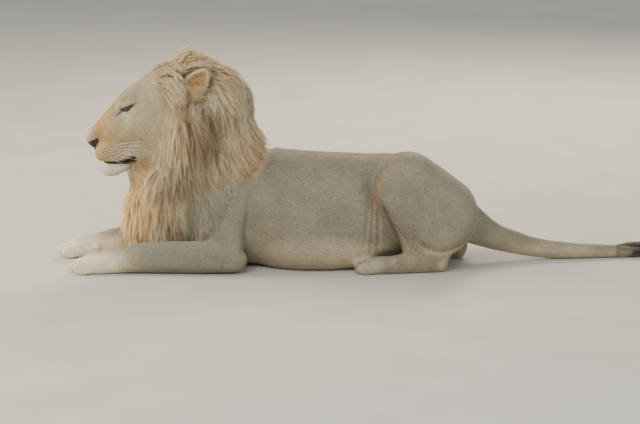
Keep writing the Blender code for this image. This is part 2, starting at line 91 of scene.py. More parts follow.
def square_to(vectors, normals):
    """Vectors with their share along the normals taken out."""
    return vectors - normals * (vectors * normals).sum(axis=-1, keepdims=True)


def ramp(value, start, end):
    """0 at start, 1 at end, smooth between."""
    t = np.clip((value - start) / (end - start), 0.0, 1.0)
    return t * t * (3 - 2 * t)


def fall(value, start, end):
    """1 at start, 0 at end, smooth between."""
    return 1 - ramp(value, start, end)


def bell(value, middle, width):
    """1 at the middle, falling off smoothly over the width."""
    return np.exp(-((value - middle) / width) ** 2)


def blob(points, centre, radii):
    """1 at the centre, falling off smoothly over the radii."""
    away = (points - np.asarray(centre)) / np.asarray(radii)
    return np.exp(-(away ** 2).sum(axis=-1))


def lattice(cell, step, seed):
    """A repeatable number from 0 to 1 for the corner of each cell of a grid that lies a step on."""
    i, j, k = (cell[..., axis] + step[axis] for axis in range(3))
    n = (i * 73856093) ^ (j * 19349663) ^ (k * 83492791) ^ (seed * 2654435761)
    n = (n ^ (n >> 13)) * 1274126177 & 0x7FFFFFFF
    return ((n ^ (n >> 16)) & 0xFFFF) / 65535.0


def between(cell_values, t):
    """A value inside each cell of a grid, from a function of the corner's step and the place t."""
    total = 0.0
    for step in np.ndindex(2, 2, 2):
        weight = 1.0
        for axis in range(3):
            weight = weight * (t[..., axis] if step[axis] else 1 - t[..., axis])
        total = total + weight * cell_values(step)
    return total


def noise(points, size, seed=0):
    """Smooth noise from 0 to 1, with features of that size in metres."""
    scaled = np.asarray(points) / np.asarray(size)
    cell = np.floor(scaled).astype(np.int64)
    t = scaled - cell
    t = t * t * (3 - 2 * t)
    return between(lambda step: lattice(cell, step, seed), t)


# -------- distances to rounded shapes

def join(a, b, blend):
    """Two shapes as one, with a fillet."""
    h = np.clip(0.5 + 0.5 * (b - a) / blend, 0.0, 1.0)
    return b + (a - b) * h - blend * h * (1 - h)


def cut(a, b, blend):
    """Shape a with b taken out, and a rounded edge."""
    return -join(-a, b, blend)


def egg(points, centre, radii, pitch=0.0):
    """An ellipsoid, its front raised by the pitch in degrees."""
    away = points - np.asarray(centre)
    if pitch:
        c, s = math.cos(math.radians(pitch)), math.sin(math.radians(pitch))
        x, y, z = away[..., 0], away[..., 1], away[..., 2]
        away = np.stack((x * c - z * s, y, x * s + z * c), -1)
    radii = np.asarray(radii)
    near = np.linalg.norm(away / radii, axis=-1)
    steep = np.linalg.norm(away / radii ** 2, axis=-1)
    return near * (near - 1.0) / np.maximum(steep, 1e-6)


def bone(points, start, end, radius_start, radius_end):
    """A rod with round ends and a changing radius."""
    start, end = np.asarray(start), np.asarray(end)
    along = end - start
    t = np.clip(((points - start) @ along) / (along @ along), 0.0, 1.0)
    nearest = start + t[..., None] * along
    return np.linalg.norm(points - nearest, axis=-1) - (radius_start + (radius_end - radius_start) * t)


def joined(d, points, rows):
    """A shape with others joined to it; each row has a fillet, a kind of shape and its sizes."""
    for blend, shape, *sizes in rows:
        d = join(d, shape(points, *sizes), blend)
    return d


# -------- the head's own frame
# Level, the tip of the nose at the origin, x back along the head, y to the lion's right and z up.

HEAD_PITCH = math.radians(-26.2)
HEAD_YAW = math.radians(6.0)
EYE_IN_CAD = np.array((0.184, 0.0, 0.068))
EYE = np.array((0.186, 0.063, 0.078))
EYE_RADIUS = 0.0185
GAZE = unit((-0.70, 0.71, -0.04))
SLIT = unit((0.71, 0.70, 0.04))
LID_UP = unit(np.cross(SLIT, GAZE))
SLIT_HALF = 0.0205
LID_GAP = 0.0040


def head_axes():
    """The head frame's turn and its origin, the latter from the two eyes' places."""
    turn = np.array(Matrix.Rotation(HEAD_YAW, 3, "Z") @ Matrix.Rotation(HEAD_PITCH, 3, "Y"))
    eyes = np.mean([np.mean(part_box(name), axis=0) for name in EYE_NODES], axis=0)
    return turn, eyes - turn @ EYE_IN_CAD


HEAD_TURN, HEAD_ORIGIN = head_axes()


def to_head(points):
    """World points in the head's frame."""
    return (points - HEAD_ORIGIN) @ HEAD_TURN


def from_head(points):
    """Points of the head's frame in the world."""
    return np.asarray(points) @ HEAD_TURN.T + HEAD_ORIGIN


def mouth_height(x):
    """The line where the lips meet, from the front to the corner."""
    return np.interp(x, (0.0, 0.012, 0.045, 0.080, 0.122), (-0.066, -0.069, -0.088, -0.102, -0.104))


def eye_space(local):
    """Points in the right eye's frame, mirrored to it: along the slit, up, and out along the gaze."""
    away = np.stack(halved(local), -1) - EYE
    out = away @ GAZE
    return away @ SLIT, away @ LID_UP, np.where(out > 0.06, -1.0, out)


def slit_height(along):
    """Half the opening between the lids, along the slit."""
    return LID_GAP * np.sqrt(np.clip(1 - (along / SLIT_HALF) ** 2, 0.0, 1.0))


SKULL = ((0.300, 0, 0.045), (0.112, 0.098, 0.104))
# The forehead, the cheekbone, the jowl, the bridge of the nose, the muzzle, its side, the pad of the
# lip, the lip's front, the brow and the tip of the nose.
HEAD_SHAPES = (
    (0.03, egg, (0.238, 0, 0.074), (0.090, 0.080, 0.068)),
    (0.03, egg, (0.235, 0.072, 0.004), (0.085, 0.044, 0.060)),
    (0.03, egg, (0.265, 0.060, -0.060), (0.085, 0.050, 0.074)),
    (0.015, bone, (0.022, 0.015, 0.030), (0.150, 0.022, 0.070), 0.021, 0.032),
    (0.03, bone, (0.045, 0, -0.022), (0.190, 0, -0.024), 0.042, 0.082),
    (0.03, egg, (0.135, 0.046, 0.010), (0.075, 0.032, 0.048)),
    (0.014, egg, (0.062, 0.034, -0.042), (0.060, 0.035, 0.043), 6),
    (0.010, egg, (0.040, 0.024, -0.044), (0.042, 0.028, 0.034)),
    (0.02, egg, (0.198, 0.054, 0.101), (0.046, 0.022, 0.015), -12),
    (0.012, egg, (0.010, 0, 0.022), (0.018, 0.029, 0.026)),
)
JAW = ((0.048, 0, -0.109), (0.230, 0, -0.092), 0.034, 0.068)
CHIN = ((0.02, egg, (0.024, 0, -0.106), (0.035, 0.028, 0.029)),)
# The flesh behind the lips and the root of the throat.
THROAT_SHAPES = (
    (0.006, bone, (0.052, 0, -0.082), (0.150, 0, -0.082), 0.040, 0.070),
    (0.03, bone, (0.17, 0, -0.10), (0.34, 0, -0.15), 0.070, 0.095),
)


def head_distance(local):
    """Distance to the skin of the head, ears included."""
    x, y, z = halved(local)
    p = np.stack((x, y, z), -1)
    d = joined(egg(p, *SKULL), p, HEAD_SHAPES)
    d = join(d, joined(bone(p, *JAW), p, CHIN), 0.008)
    d = nostrils(joined(d, p, THROAT_SHAPES), p)
    mouth = bell(z, mouth_height(x), 0.0030) * fall(x, 0.118, 0.128) * (y < 0.09)
    d = d + 0.0085 * mouth
    cleft = bell(y, 0.0, 0.0022) * bell(x, 0.0, 0.03)
    d = d + 0.004 * (cleft * ramp(z, -0.080, -0.066) * fall(z, -0.016, -0.004))
    d = d + 0.005 * bell(y, 0, 0.018) * blob(p, (0.205, 0, 0.128), (0.045, 0.03, 0.03))
    d = d + 0.012 * blob(p, (0.238, 0, 0.152), (0.070, 0.12, 0.045))
    d = lids(d, local)
    for side in (LEFT, RIGHT):
        d = join(d, ear_distance(local, side), 0.010)
    return d


def nostrils(d, p):
    """A comma-shaped hole on each side of the nose and the wing round it."""
    d = join(d, egg(p, (0.012, 0.021, 0.006), (0.014, 0.010, 0.012)), 0.006)
    return cut(d, bone(p, (-0.002, 0.013, 0.004), (0.013, 0.026, 0.001), 0.0052, 0.0030), 0.003)


def lids(d, local):
    """The brow's hollow and the closed shape of the lids over the ball."""
    along, up, out = eye_space(local)
    away = np.sqrt(along ** 2 + up ** 2 + out ** 2)
    hollow = np.sqrt((along / 1.6) ** 2 + (up / 1.05) ** 2 + ((out - 0.022) / 0.8) ** 2) - 0.012
    d = cut(d, hollow, 0.010)
    d = join(d, away - EYE_RADIUS - 0.0028, 0.007)
    bow = 10 * along ** 2
    crease = bell(up, 0.0095 - bow, 0.0014) + 0.6 * bell(up, -0.0085 + bow, 0.0013)
    return d + 0.0018 * crease * bell(along, 0, 0.018) * ramp(out, 0.005, 0.012)


EAR_MIDDLE = np.array((0.448, 0.120, 0.050))
EAR_UP = np.array((0.88, 0.22, 0.40))
EAR_FACING = np.array((-0.40, 0.88, 0.05))
EAR_CUP = ((0, 0, 0.006), (0.045, 0.026, 0.068))
EAR_HOLLOW = ((0, 0.022, 0.010), (0.035, 0.032, 0.055))
EAR_ROOT = ((0, -0.016, -0.070), (0, -0.006, -0.022), 0.044, 0.030)


def on_side(vector, side):
    """A direction or place of the right side, on the wanted side."""
    return np.asarray(vector) * np.array((1, side, 1))


def ear_frame(side):
    """The ear's middle and its axes in the head's frame: across, out of the cup, and up to the tip."""
    up = unit(on_side(EAR_UP, side))
    facing = on_side(EAR_FACING, side)
    facing = unit(facing - up * (facing @ up))
    return on_side(EAR_MIDDLE, side), np.stack((np.cross(up, facing), facing, up))


def ear_space(local, side):
    """Places in an ear's frame, spread sideways towards the tip to make round shapes narrower there."""
    middle, axes = ear_frame(side)
    p = (local - middle) @ axes.T
    p[..., 0] *= 1 + 0.45 * ramp(p[..., 2], -0.01, 0.08)
    return p


def ear_distance(local, side):
    """A round cup on a short thick root."""
    p = ear_space(local, side)
    cup = cut(egg(p, *EAR_CUP), egg(p, *EAR_HOLLOW), 0.005)
    return join(cup, bone(p, *EAR_ROOT), 0.014)


# -------- the volume

class Volume:
    """Distances to the skin on a grid, negative inside."""

    def __init__(self, low, high, fill):
        self.low = np.floor(np.asarray(low) / VOXEL).astype(int)
        self.shape = tuple(np.ceil(np.asarray(high) / VOXEL).astype(int) - self.low + 1)
        self.values = np.full(self.shape, fill, dtype=np.float32)

    def like(self, values):
        """Other values on the same grid."""
        other = copy.copy(self)
        other.values = values
        return other

    def window(self, low, high):
        """The slices and the points of the part of the grid inside a box."""
        first = np.floor(np.asarray(low) / VOXEL).astype(int) - self.low
        first = np.clip(first, 0, np.array(self.shape) - 1)
        last = np.ceil(np.asarray(high) / VOXEL).astype(int) - self.low + 1
        last = np.clip(last, first + 1, self.shape)
        axes = [(np.arange(a, b) + low_cell) * VOXEL for a, b, low_cell in zip(first, last, self.low)]
        where = tuple(slice(a, b) for a, b in zip(first, last))
        return where, np.stack(np.meshgrid(*axes, indexing="ij"), -1)

    def slabs(self, thick=40):
        """Windows that cover the grid, each a few cells of its length."""
        for first in range(0, self.shape[0], thick):
            last = min(first + thick, self.shape[0]) - 1
            low = (self.low + (first, 0, 0)) * VOXEL
            high = (self.low + (last - 0.5, self.shape[1], self.shape[2])) * VOXEL
            yield self.window(low + 0.1 * VOXEL, high)

    def at(self, points):
        """The distance at each point."""
        scaled = np.asarray(points) / VOXEL - self.low
        scaled = np.clip(scaled, 0, np.array(self.shape) - 1.001)
        cell = scaled.astype(int)
        return between(lambda step: self.values[tuple(np.moveaxis(cell + step, -1, 0))], scaled - cell)

    def out(self, points):
        """The way out from the skin at each point."""
        steps = np.eye(3) * VOXEL * 0.75
        return unit(np.stack([self.at(points + step) - self.at(points - step) for step in steps], -1))


def blurred(values, sigma):
    """The grid smoothed over that many voxels."""
    reach = int(math.ceil(sigma * 2.5))
    weights = np.exp(-0.5 * (np.arange(-reach, reach + 1) / sigma) ** 2)
    weights /= weights.sum()
    for axis in range(3):
        pad = [(0, 0)] * 3
        pad[axis] = (reach, reach)
        padded = np.pad(values, pad, mode="edge")
        total = np.zeros_like(values)
        for k, weight in enumerate(weights):
            piece = [slice(None)] * 3
            piece[axis] = slice(k, k + values.shape[axis])
            total += np.float32(weight) * padded[tuple(piece)]
        values = total
    return values


def level_set(points, triangles, band):
    """The distance grid of a closed mesh, as openvdb has it."""
    return openvdb.FloatGrid.createLevelSetFromPolygons(
        np.ascontiguousarray(points, dtype=np.float32),
        triangles=np.ascontiguousarray(triangles, dtype=np.uint32),
        transform=openvdb.createLinearTransform(voxelSize=VOXEL),
        halfWidth=band,
    )


def surface_of(grid, distance):
    """The points and the triangles of a grid's surface at that distance, facing outwards."""
    points, triangles, quads = grid.convertToPolygons(isovalue=distance, adaptivity=0.0)
    triangles = np.concatenate((triangles, quads[:, [0, 1, 2]], quads[:, [0, 2, 3]]))
    return points, triangles[:, ::-1]


def solids_mesh(names):
    """The named CAD solids' points and triangles together."""
    points, triangles, start = [], [], 0
    for name in names:
        mesh = NODES[name].data
        mesh.calc_loop_triangles()
        points.append(coordinates(mesh))
        triangles.append(read(mesh.loop_triangles, "vertices", 3, np.int32) + start)
        start += len(mesh.vertices)
    return np.concatenate(points), np.concatenate(triangles)


def closed_solids(names, band):
    """The outline of some solids as a volume, with the thin cuts between them closed."""
    swell = 0.0012
    margin = 0.06
    grid = level_set(*surface_of(level_set(*solids_mesh(names), 3.0), swell), band)
    volume = Volume(np.array(CAD_BOX[0]) - margin, np.array(CAD_BOX[1]) + margin, band * VOXEL)
    grid.copyToArray(volume.values, ijk=tuple(int(v) for v in volume.low))
    volume.values += swell
    return volume


# -------- the body's shapes

# How far the skin stays over the floor, and what the smoothing takes off small shapes.
FLOOR_GAP = 0.0015
BLUR_LOSS = 0.003
# How deep the coat is on the body, and how much deeper in the mane and at the tail's tuft.
COAT_DEPTH, MANE_DEPTH, TUFT_DEPTH = 0.0035, 0.038, 0.014
# How many voxels from the surface distances are known, and the part of the head's frame with the head.
BODY_BAND, MANE_BAND = 14.0, 8.0
HEAD_BOX = ((-0.04, 0.55), (-0.19, 0.19), (-0.18, 0.21))
# The neck and the throat: the start in the head's frame, the end in the world, and the two radii.
NECK = (
    ((0.335, 0, 0.012), (-0.47, 0, 0.38), 0.100, 0.120),
    ((0.27, 0, -0.10), (-0.68, 0, 0.24), 0.080, 0.125),
    ((0.120, 0, -0.140), (-0.737, 0, 0.20), 0.046, 0.080),
    ((0.335, 0, 0.045), (-0.51, 0, 0.60), 0.098, 0.105),
)
THIGH_RADIUS = 0.125
# Each row: a kind of foot, how far apart its toes are, and the radii of a toe.
TOES = (
    ("forepaw", 0.0265, (0.034, 0.0145, 0.026)),
    ("hind_paw", 0.0235, (0.030, 0.0130, 0.023)),
)
FEET = [(*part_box(f"{foot}_{side}"), spread, size) for foot, spread, size in TOES for side in SIDES]
# Each row: a fold of the flank's place, its lean, its lower and upper end, and its depth.
FLANK_FOLDS = (
    (0.022, 0.10, 0.06, 0.32, 0.004),
    (0.042, 0.05, 0.05, 0.34, 0.007),
    (0.062, 0.00, 0.05, 0.30, 0.009),
)


def coat_depth(points, mane):
    """How deep the coat is under the outline, from the distance to the mane's solids."""
    share = fall(mane, -0.025, 0.035)
    above_floor = ramp(points[..., 2], 0.02, 0.10)
    tuft = ramp(points[..., 0], 0.985, 1.03)
    return COAT_DEPTH + MANE_DEPTH * share * (0.35 + 0.65 * above_floor) + TUFT_DEPTH * tuft


def body_distance(points, fine, broad, mane):
    """The outline less the coat, smoother where the shape is big."""
    x, z = points[..., 0], points[..., 2]
    small = ramp(-x, 0.62, 0.76) * fall(z, 0.12, 0.2)
    small = np.maximum(small, fall(z, 0.07, 0.11) * ramp(x, -0.06, 0.0))
    small = np.maximum(small, ramp(x, 0.5, 0.6))
    d = fine * small + broad * (1 - small) + coat_depth(points, mane)
    d = d - BLUR_LOSS * small * (1 + 0.8 * (x > 0))
    for start, end, first, last in NECK:
        d = join(d, bone(points, from_head(start), end, first, last), 0.04)
    d = join(d, forearms(points), 0.03)
    thigh = thighs(points)
    hollow = bell(thigh, 0.006, 0.030) * ramp(np.abs(points[..., 1]), 0.11, 0.17) * ramp(z, 0.09, 0.16)
    d = d + 0.020 * hollow * fall(z, 0.36, 0.42) * (x < 0.18)
    d = join(d + folds(points), thigh, 0.010 + 0.030 * ramp(x, 0.18, 0.30))
    return np.maximum(join(d, toes(points), 0.004), FLOOR_GAP - z)


def forearms(points):
    """The underside of each forearm, which rests on the floor."""
    d = np.full(points.shape[:-1], 0.2)
    for side in SIDES:
        arm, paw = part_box(f"forearm_{side}"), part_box(f"forepaw_{side}")
        elbow = (arm[1].x - 0.060, (arm[0].y + arm[1].y) / 2, 0.038)
        wrist = ((paw[0].x + paw[1].x) / 2, (paw[0].y + paw[1].y) / 2, 0.034)
        d = np.minimum(d, bone(points, elbow, wrist, 0.034, 0.030))
    return d


def from_thigh(x, z):
    """Distance from the middle of the thigh, as seen from the side."""
    return np.hypot(x - 0.30, z - 0.21)


def thighs(points):
    """The folded thigh and shank of each side, flat outside, their front edge clear of the flank."""
    x, y, z = points[..., 0], points[..., 1], points[..., 2]
    flat = np.stack((x, np.zeros_like(y), z + 0.058 * (y > 0)), -1)
    thigh = bone(flat, (0.171, 0, 0.312), (0.283, 0, 0.204), 0.126, 0.143)
    shank = bone(flat, (0.149, 0, 0.290), (0.223, 0, 0.130), 0.094, 0.078)
    outer = cut(join(thigh, shank, 0.01), 0.245 - np.abs(y), 0.085)
    under = bell(from_thigh(x, z), THIGH_RADIUS, 0.010) * fall(z, 0.12, 0.18) * ramp(x, 0.18, 0.22)
    return cut(outer, np.abs(y) - 0.050, 0.060) + 0.0045 * hock_creases(points) + 0.0060 * under


def toe_centres(low, high, spread, size):
    """The middles of a foot's four toes, the inner two further forward."""
    for off in (-1.5, -0.5, 0.5, 1.5):
        yield low.x + size[0] + 0.012 * (abs(off) - 0.5), (low.y + high.y) / 2 + off * spread, size[2]


def toes(points):
    """The four toes of each foot, split by their folds."""
    x, z = points[..., 0], points[..., 2]
    d = np.full(points.shape[:-1], 0.05)
    for foot in FEET:
        low, size = foot[0], foot[-1]
        near = (x < low.x + 0.10) & (z < 0.08) & (x > low.x - 0.02)
        if near.any():
            found = points[near]
            for centre in toe_centres(*foot):
                d[near] = np.minimum(d[near], egg(found, centre, size))
    return d


def toe_gaps(points):
    """1 in the three folds between the toes of each foot."""
    x, y, z = points[:, 0], points[:, 1], points[:, 2]
    total = np.zeros(len(points))
    for low, high, spread, size in FEET:
        front = fall(x, low.x + 1.2 * size[0], low.x + 2.0 * size[0]) * (x > low.x - 0.02)
        for gap in (-1, 0, 1):
            total += bell(y, (low.y + high.y) / 2 + gap * spread, 0.0036) * front * (z < 2.1 * size[2])
    return np.clip(total, 0, 1)


def folds(points):
    """Folds of the flank and the elbow, as small dents."""
    x, y, z = halved(points)
    total = 0.0
    for place, lean, low, high, deep in FLANK_FOLDS:
        line = bell(x, place + lean * (z - 0.20), 0.008)
        total = total + deep * line * ramp(z, low, low + 0.06) * fall(z, high - 0.08, high)
    arm = bell(x, -0.400 - 0.147 * (0.346 - z), 0.013)
    total = total + 0.010 * arm * ramp(z, 0.04, 0.10) * fall(z, 0.28, 0.36)
    return total * ramp(y, 0.08, 0.13)


def hock_creases(points):
    """1 in the thin folds of skin over the front of the folded hock."""
    x, y, z = halved(points)
    total = sum(bell(x, 0.158 + 0.014 * k - 0.61 * (z - 0.14), 0.0042) for k in range(5))
    return total * ramp(z, 0.075, 0.10) * fall(z, 0.16, 0.20) * ramp(y, 0.14, 0.18)


def build_volume():
    """The body, drawn in and smoothed, with the head joined to it; and the mane's own outline."""
    volume = closed_solids([name for name in SKIN_NODES if name not in HEAD_NODES], BODY_BAND)
    mane = blurred(closed_solids(MANE_NODES, MANE_BAND).values, 1.5)
    fine = blurred(volume.values, 1.3)
    broad = blurred(fine, 2.4)
    for where, points in volume.slabs():
        volume.values[where] = body_distance(points, fine[where], broad[where], mane[where])
    corners = from_head(list(itertools.product(*HEAD_BOX)))
    where, points = volume.window(corners.min(axis=0), corners.max(axis=0))
    head = head_distance(to_head(points)).astype(np.float32)
    volume.values[where] = join(volume.values[where], head, 0.025)
    return volume, volume.like(mane)


# -------- meshes

def placed(name, data):
    """An object made from a mesh, a lamp or a camera, put in the scene."""
    obj = bpy.data.objects.new(name, data)
    bpy.context.scene.collection.objects.link(obj)
    return obj


def mesh_from(name, built):
    """A mesh made from a bmesh, which is freed."""
    mesh = bpy.data.meshes.new(name)
    built.to_mesh(mesh)
    built.free()
    return mesh


def read(elements, field, width, kind=np.float32):
    """One field of all elements of a mesh, as an array with that many columns."""
    found = np.empty(len(elements) * width, dtype=kind)
    elements.foreach_get(field, found)
    return found.reshape(-1, width)


def coordinates(mesh):
    """The mesh's points as an array."""
    return read(mesh.vertices, "co", 3).astype(np.float64)


def vertex_normals(mesh):
    """The mesh's smooth normals as an array."""
    return read(mesh.vertices, "normal", 3).astype(np.float64)


def put_coordinates(mesh, points):
    """Move the mesh's points."""
    mesh.vertices.foreach_set("co", np.asarray(points, dtype=np.float32).ravel())
    mesh.update()


def paint(mesh, colours):
    """Store a colour for each point."""
    layer = mesh.color_attributes.new("Coat", "FLOAT_COLOR", "POINT")
    opaque = np.column_stack((colours, np.ones(len(colours))))
    layer.data.foreach_set("color", opaque.astype(np.float32).ravel())


def apply_modifiers(obj):
    """Make the object's modifiers part of its mesh."""
    graph = bpy.context.evaluated_depsgraph_get()
    mesh = bpy.data.meshes.new_from_object(obj.evaluated_get(graph))
    obj.modifiers.clear()
    obj.data = mesh


# -------- the skin

# The share of the body's triangles that is taken away, and how far the skin in the slit goes back.
BODY_CUT = 0.82
LID_PUSH = 0.0065


def settle(points):
    """Face points put exactly on the head's modelled surface."""
    step = 0.0006
    for _ in range(3):
        local = to_head(points)
        d = head_distance(local)
        slope = [head_distance(local + e) - head_distance(local - e) for e in np.eye(3) * step]
        slope = np.stack(slope, -1)
        slope /= 2 * step
        size = np.maximum((slope ** 2).sum(axis=-1), 0.25)
        points = from_head(local - slope * np.clip(d / size, -0.004, 0.004)[..., None])
    return points


def on_face(local):
    """1 on the face ahead of the ears, 0 well behind and below it."""
    x, z = local[..., 0], local[..., 2]
    lowest = -0.17 + 0.055 * ramp(x, 0.08, 0.13)
    return fall(x, 0.24, 0.29) * ramp(z, lowest, lowest + 0.03) * (x > -0.05)


def mostly_face(local):
    """Where the face needs finer faces than the body."""
    return on_face(local) > 0.5


def near_features(local):
    """Where the mouth, the nostrils and the eyes need small faces."""
    x, z = local[..., 0], local[..., 2]
    along, up, out = eye_space(local)
    eye = (np.abs(along) < 0.030) & (np.abs(up) < 0.016) & (out > 0)
    mouth = (np.abs(z - mouth_height(x)) < 0.010) & (x < 0.14)
    front = (x < 0.035) & (z > -0.09) & (z < 0.055)
    return eye | mouth | front


def near_slit(local):
    """Right beside the slit between the lids."""
    along, up, out = eye_space(local)
    return (np.abs(along) < 0.024) & (np.abs(up) < 0.007) & (out > 0)


def refine(obj, wanted, longest):
    """Split the edges in the chosen region that are longer than that."""
    mesh = bmesh.new()
    mesh.from_mesh(obj.data)
    chosen = wanted(to_head(np.array([v.co for v in mesh.verts])))
    edges = [
        edge for edge in mesh.edges
        if edge.calc_length() > longest and any(chosen[v.index] for v in edge.verts)
    ]
    bmesh.ops.subdivide_edges(mesh, edges=edges, cuts=1, use_grid_fill=True)
    bmesh.ops.triangulate(mesh, faces=[f for f in mesh.faces if len(f.verts) > 3])
    mesh.to_mesh(obj.data)
    mesh.free()


def relaxed(mesh, points):
    """Points slid along the surface towards the middle of their neighbours."""
    edges = read(mesh.edges, "vertices", 2, np.int32)
    a, b = edges.T
    size = len(points)
    total = np.zeros_like(points)
    for axis in range(3):
        total[:, axis] = np.bincount(a, points[b, axis], size) + np.bincount(b, points[a, axis], size)
    count = np.bincount(edges.ravel(), minlength=size)[:, None]
    step = total / np.maximum(count, 1) - points
    put_coordinates(mesh, points)
    return points + 0.6 * square_to(step, vertex_normals(mesh))


def open_lids(points):
    """The skin in the slit pushed back behind the eye's surface."""
    local = to_head(points)
    along, up, out = eye_space(local)
    inside = slit_height(along) - np.abs(up)
    push = LID_PUSH * ramp(inside, -0.0003, 0.0007) * (out > 0)
    gaze = np.tile(GAZE, (len(points), 1))
    gaze[local[:, 1] < 0, 1] = -GAZE[1]
    return from_head(local - gaze * push[:, None])


def skin_of(volume):
    """The skin's mesh from the volume, with larger faces on the body than on the head and the feet."""
    grid = openvdb.FloatGrid(BODY_BAND * VOXEL)
    grid.transform = openvdb.createLinearTransform(voxelSize=VOXEL)
    grid.copyFromArray(volume.values, ijk=tuple(int(v) for v in volume.low))
    grid.gridClass = openvdb.GridClass.LEVEL_SET
    points, triangles = surface_of(grid, 0.0)
    mesh = bpy.data.meshes.new("skin")
    mesh.from_pydata(points.tolist(), [], triangles.tolist())
    mesh.update()
    skin = placed("skin", mesh)
    local = to_head(points.astype(np.float64))
    body = (local[:, 0] > 0.30) | (local[:, 2] < -0.2)
    body &= ~((points[:, 2] < 0.07) & ((points[:, 0] < -0.85) | (points[:, 0] > 0.0)))
    skin.vertex_groups.new(name="body").add(np.flatnonzero(body).tolist(), 1.0, "REPLACE")
    fewer = skin.modifiers.new("fewer", "DECIMATE")
    fewer.ratio = 1 - body.mean() * BODY_CUT
    fewer.vertex_group = "body"
    apply_modifiers(skin)
    skin.vertex_groups.clear()
    return skin


def shape_face(skin):
    """Give the face finer faces, set them on the modelled head and open the lids."""
    refine(skin, mostly_face, 0.0042)
    refine(skin, near_features, 0.0022)
    refine(skin, near_slit, 0.0014)
    points = coordinates(skin.data)
    face = np.flatnonzero(on_face(to_head(points)) > 0)
    for _ in range(3):
        points[face] = relaxed(skin.data, points)[face]
        share = on_face(to_head(points[face]))[:, None]
        points[face] += (settle(points[face]) - points[face]) * share
    put_coordinates(skin.data, open_lids(points))


def unwrap(obj):
    """The skin's own unwrap, a map for its colours."""
    bpy.context.view_layer.objects.active = obj
    obj.select_set(True)
    obj.data.uv_layers.new(name="OFBake")
    bpy.ops.object.mode_set(mode="EDIT")
    bpy.ops.mesh.select_all(action="SELECT")
    bpy.ops.uv.smart_project(angle_limit=1.15, island_margin=0.002)
    bpy.ops.object.mode_set(mode="OBJECT")
    obj.select_set(False)


# -------- colours

def srgb(red, green, blue):
    """A colour from 0 to 255 in the linear values that shaders use."""
    value = np.array((red, green, blue)) / 255
    return np.where(value < 0.04045, value / 12.92, ((value + 0.055) / 1.055) ** 2.4)


SAND = srgb(163, 152, 123)
GREY_SAND = srgb(149, 141, 119)
# A sand with a green cast, used as painted shade on the lower foreleg.
GREENISH_SHADE = srgb(138, 142, 122)
SHADE = srgb(112, 112, 90)
PALE = srgb(206, 191, 156)
CREAM = srgb(216, 195, 150)
WHITE = srgb(236, 230, 214)
PAW_WHITE = srgb(255, 242, 214)
# A pale cream, brightened as painted warm light for the chest's front.
LIT_CHEST_CREAM = srgb(255, 215, 150)
CREST_CREAM = srgb(244, 208, 148)
THROAT_CREAM = srgb(246, 200, 140)
CROWN_CREAM = srgb(222, 196, 150)
LIP_SAND = srgb(200, 170, 104)
BRISTLE = srgb(240, 236, 226)
ORANGE = srgb(192, 138, 68)
RUST = srgb(204, 150, 92)
UMBER = srgb(112, 92, 66)
TUFT = srgb(58, 46, 36)
BLACK = srgb(30, 24, 21)
LEATHER = srgb(44, 34, 31)
IRIS = srgb(92, 60, 28)
IRIS_RING = srgb(126, 86, 42)
EYE_WHITE = srgb(120, 100, 84)
HORN = srgb(70, 58, 48)
HORN_LIGHT = srgb(110, 96, 80)


def tint(colours, *layers):
    """The colours drawn towards each layer's colour in turn, by its share from 0 to 1."""
    for colour, share in layers:
        share = np.clip(share, 0, 1)[:, None]
        colours = colours * (1 - share) + colour * share
    return colours


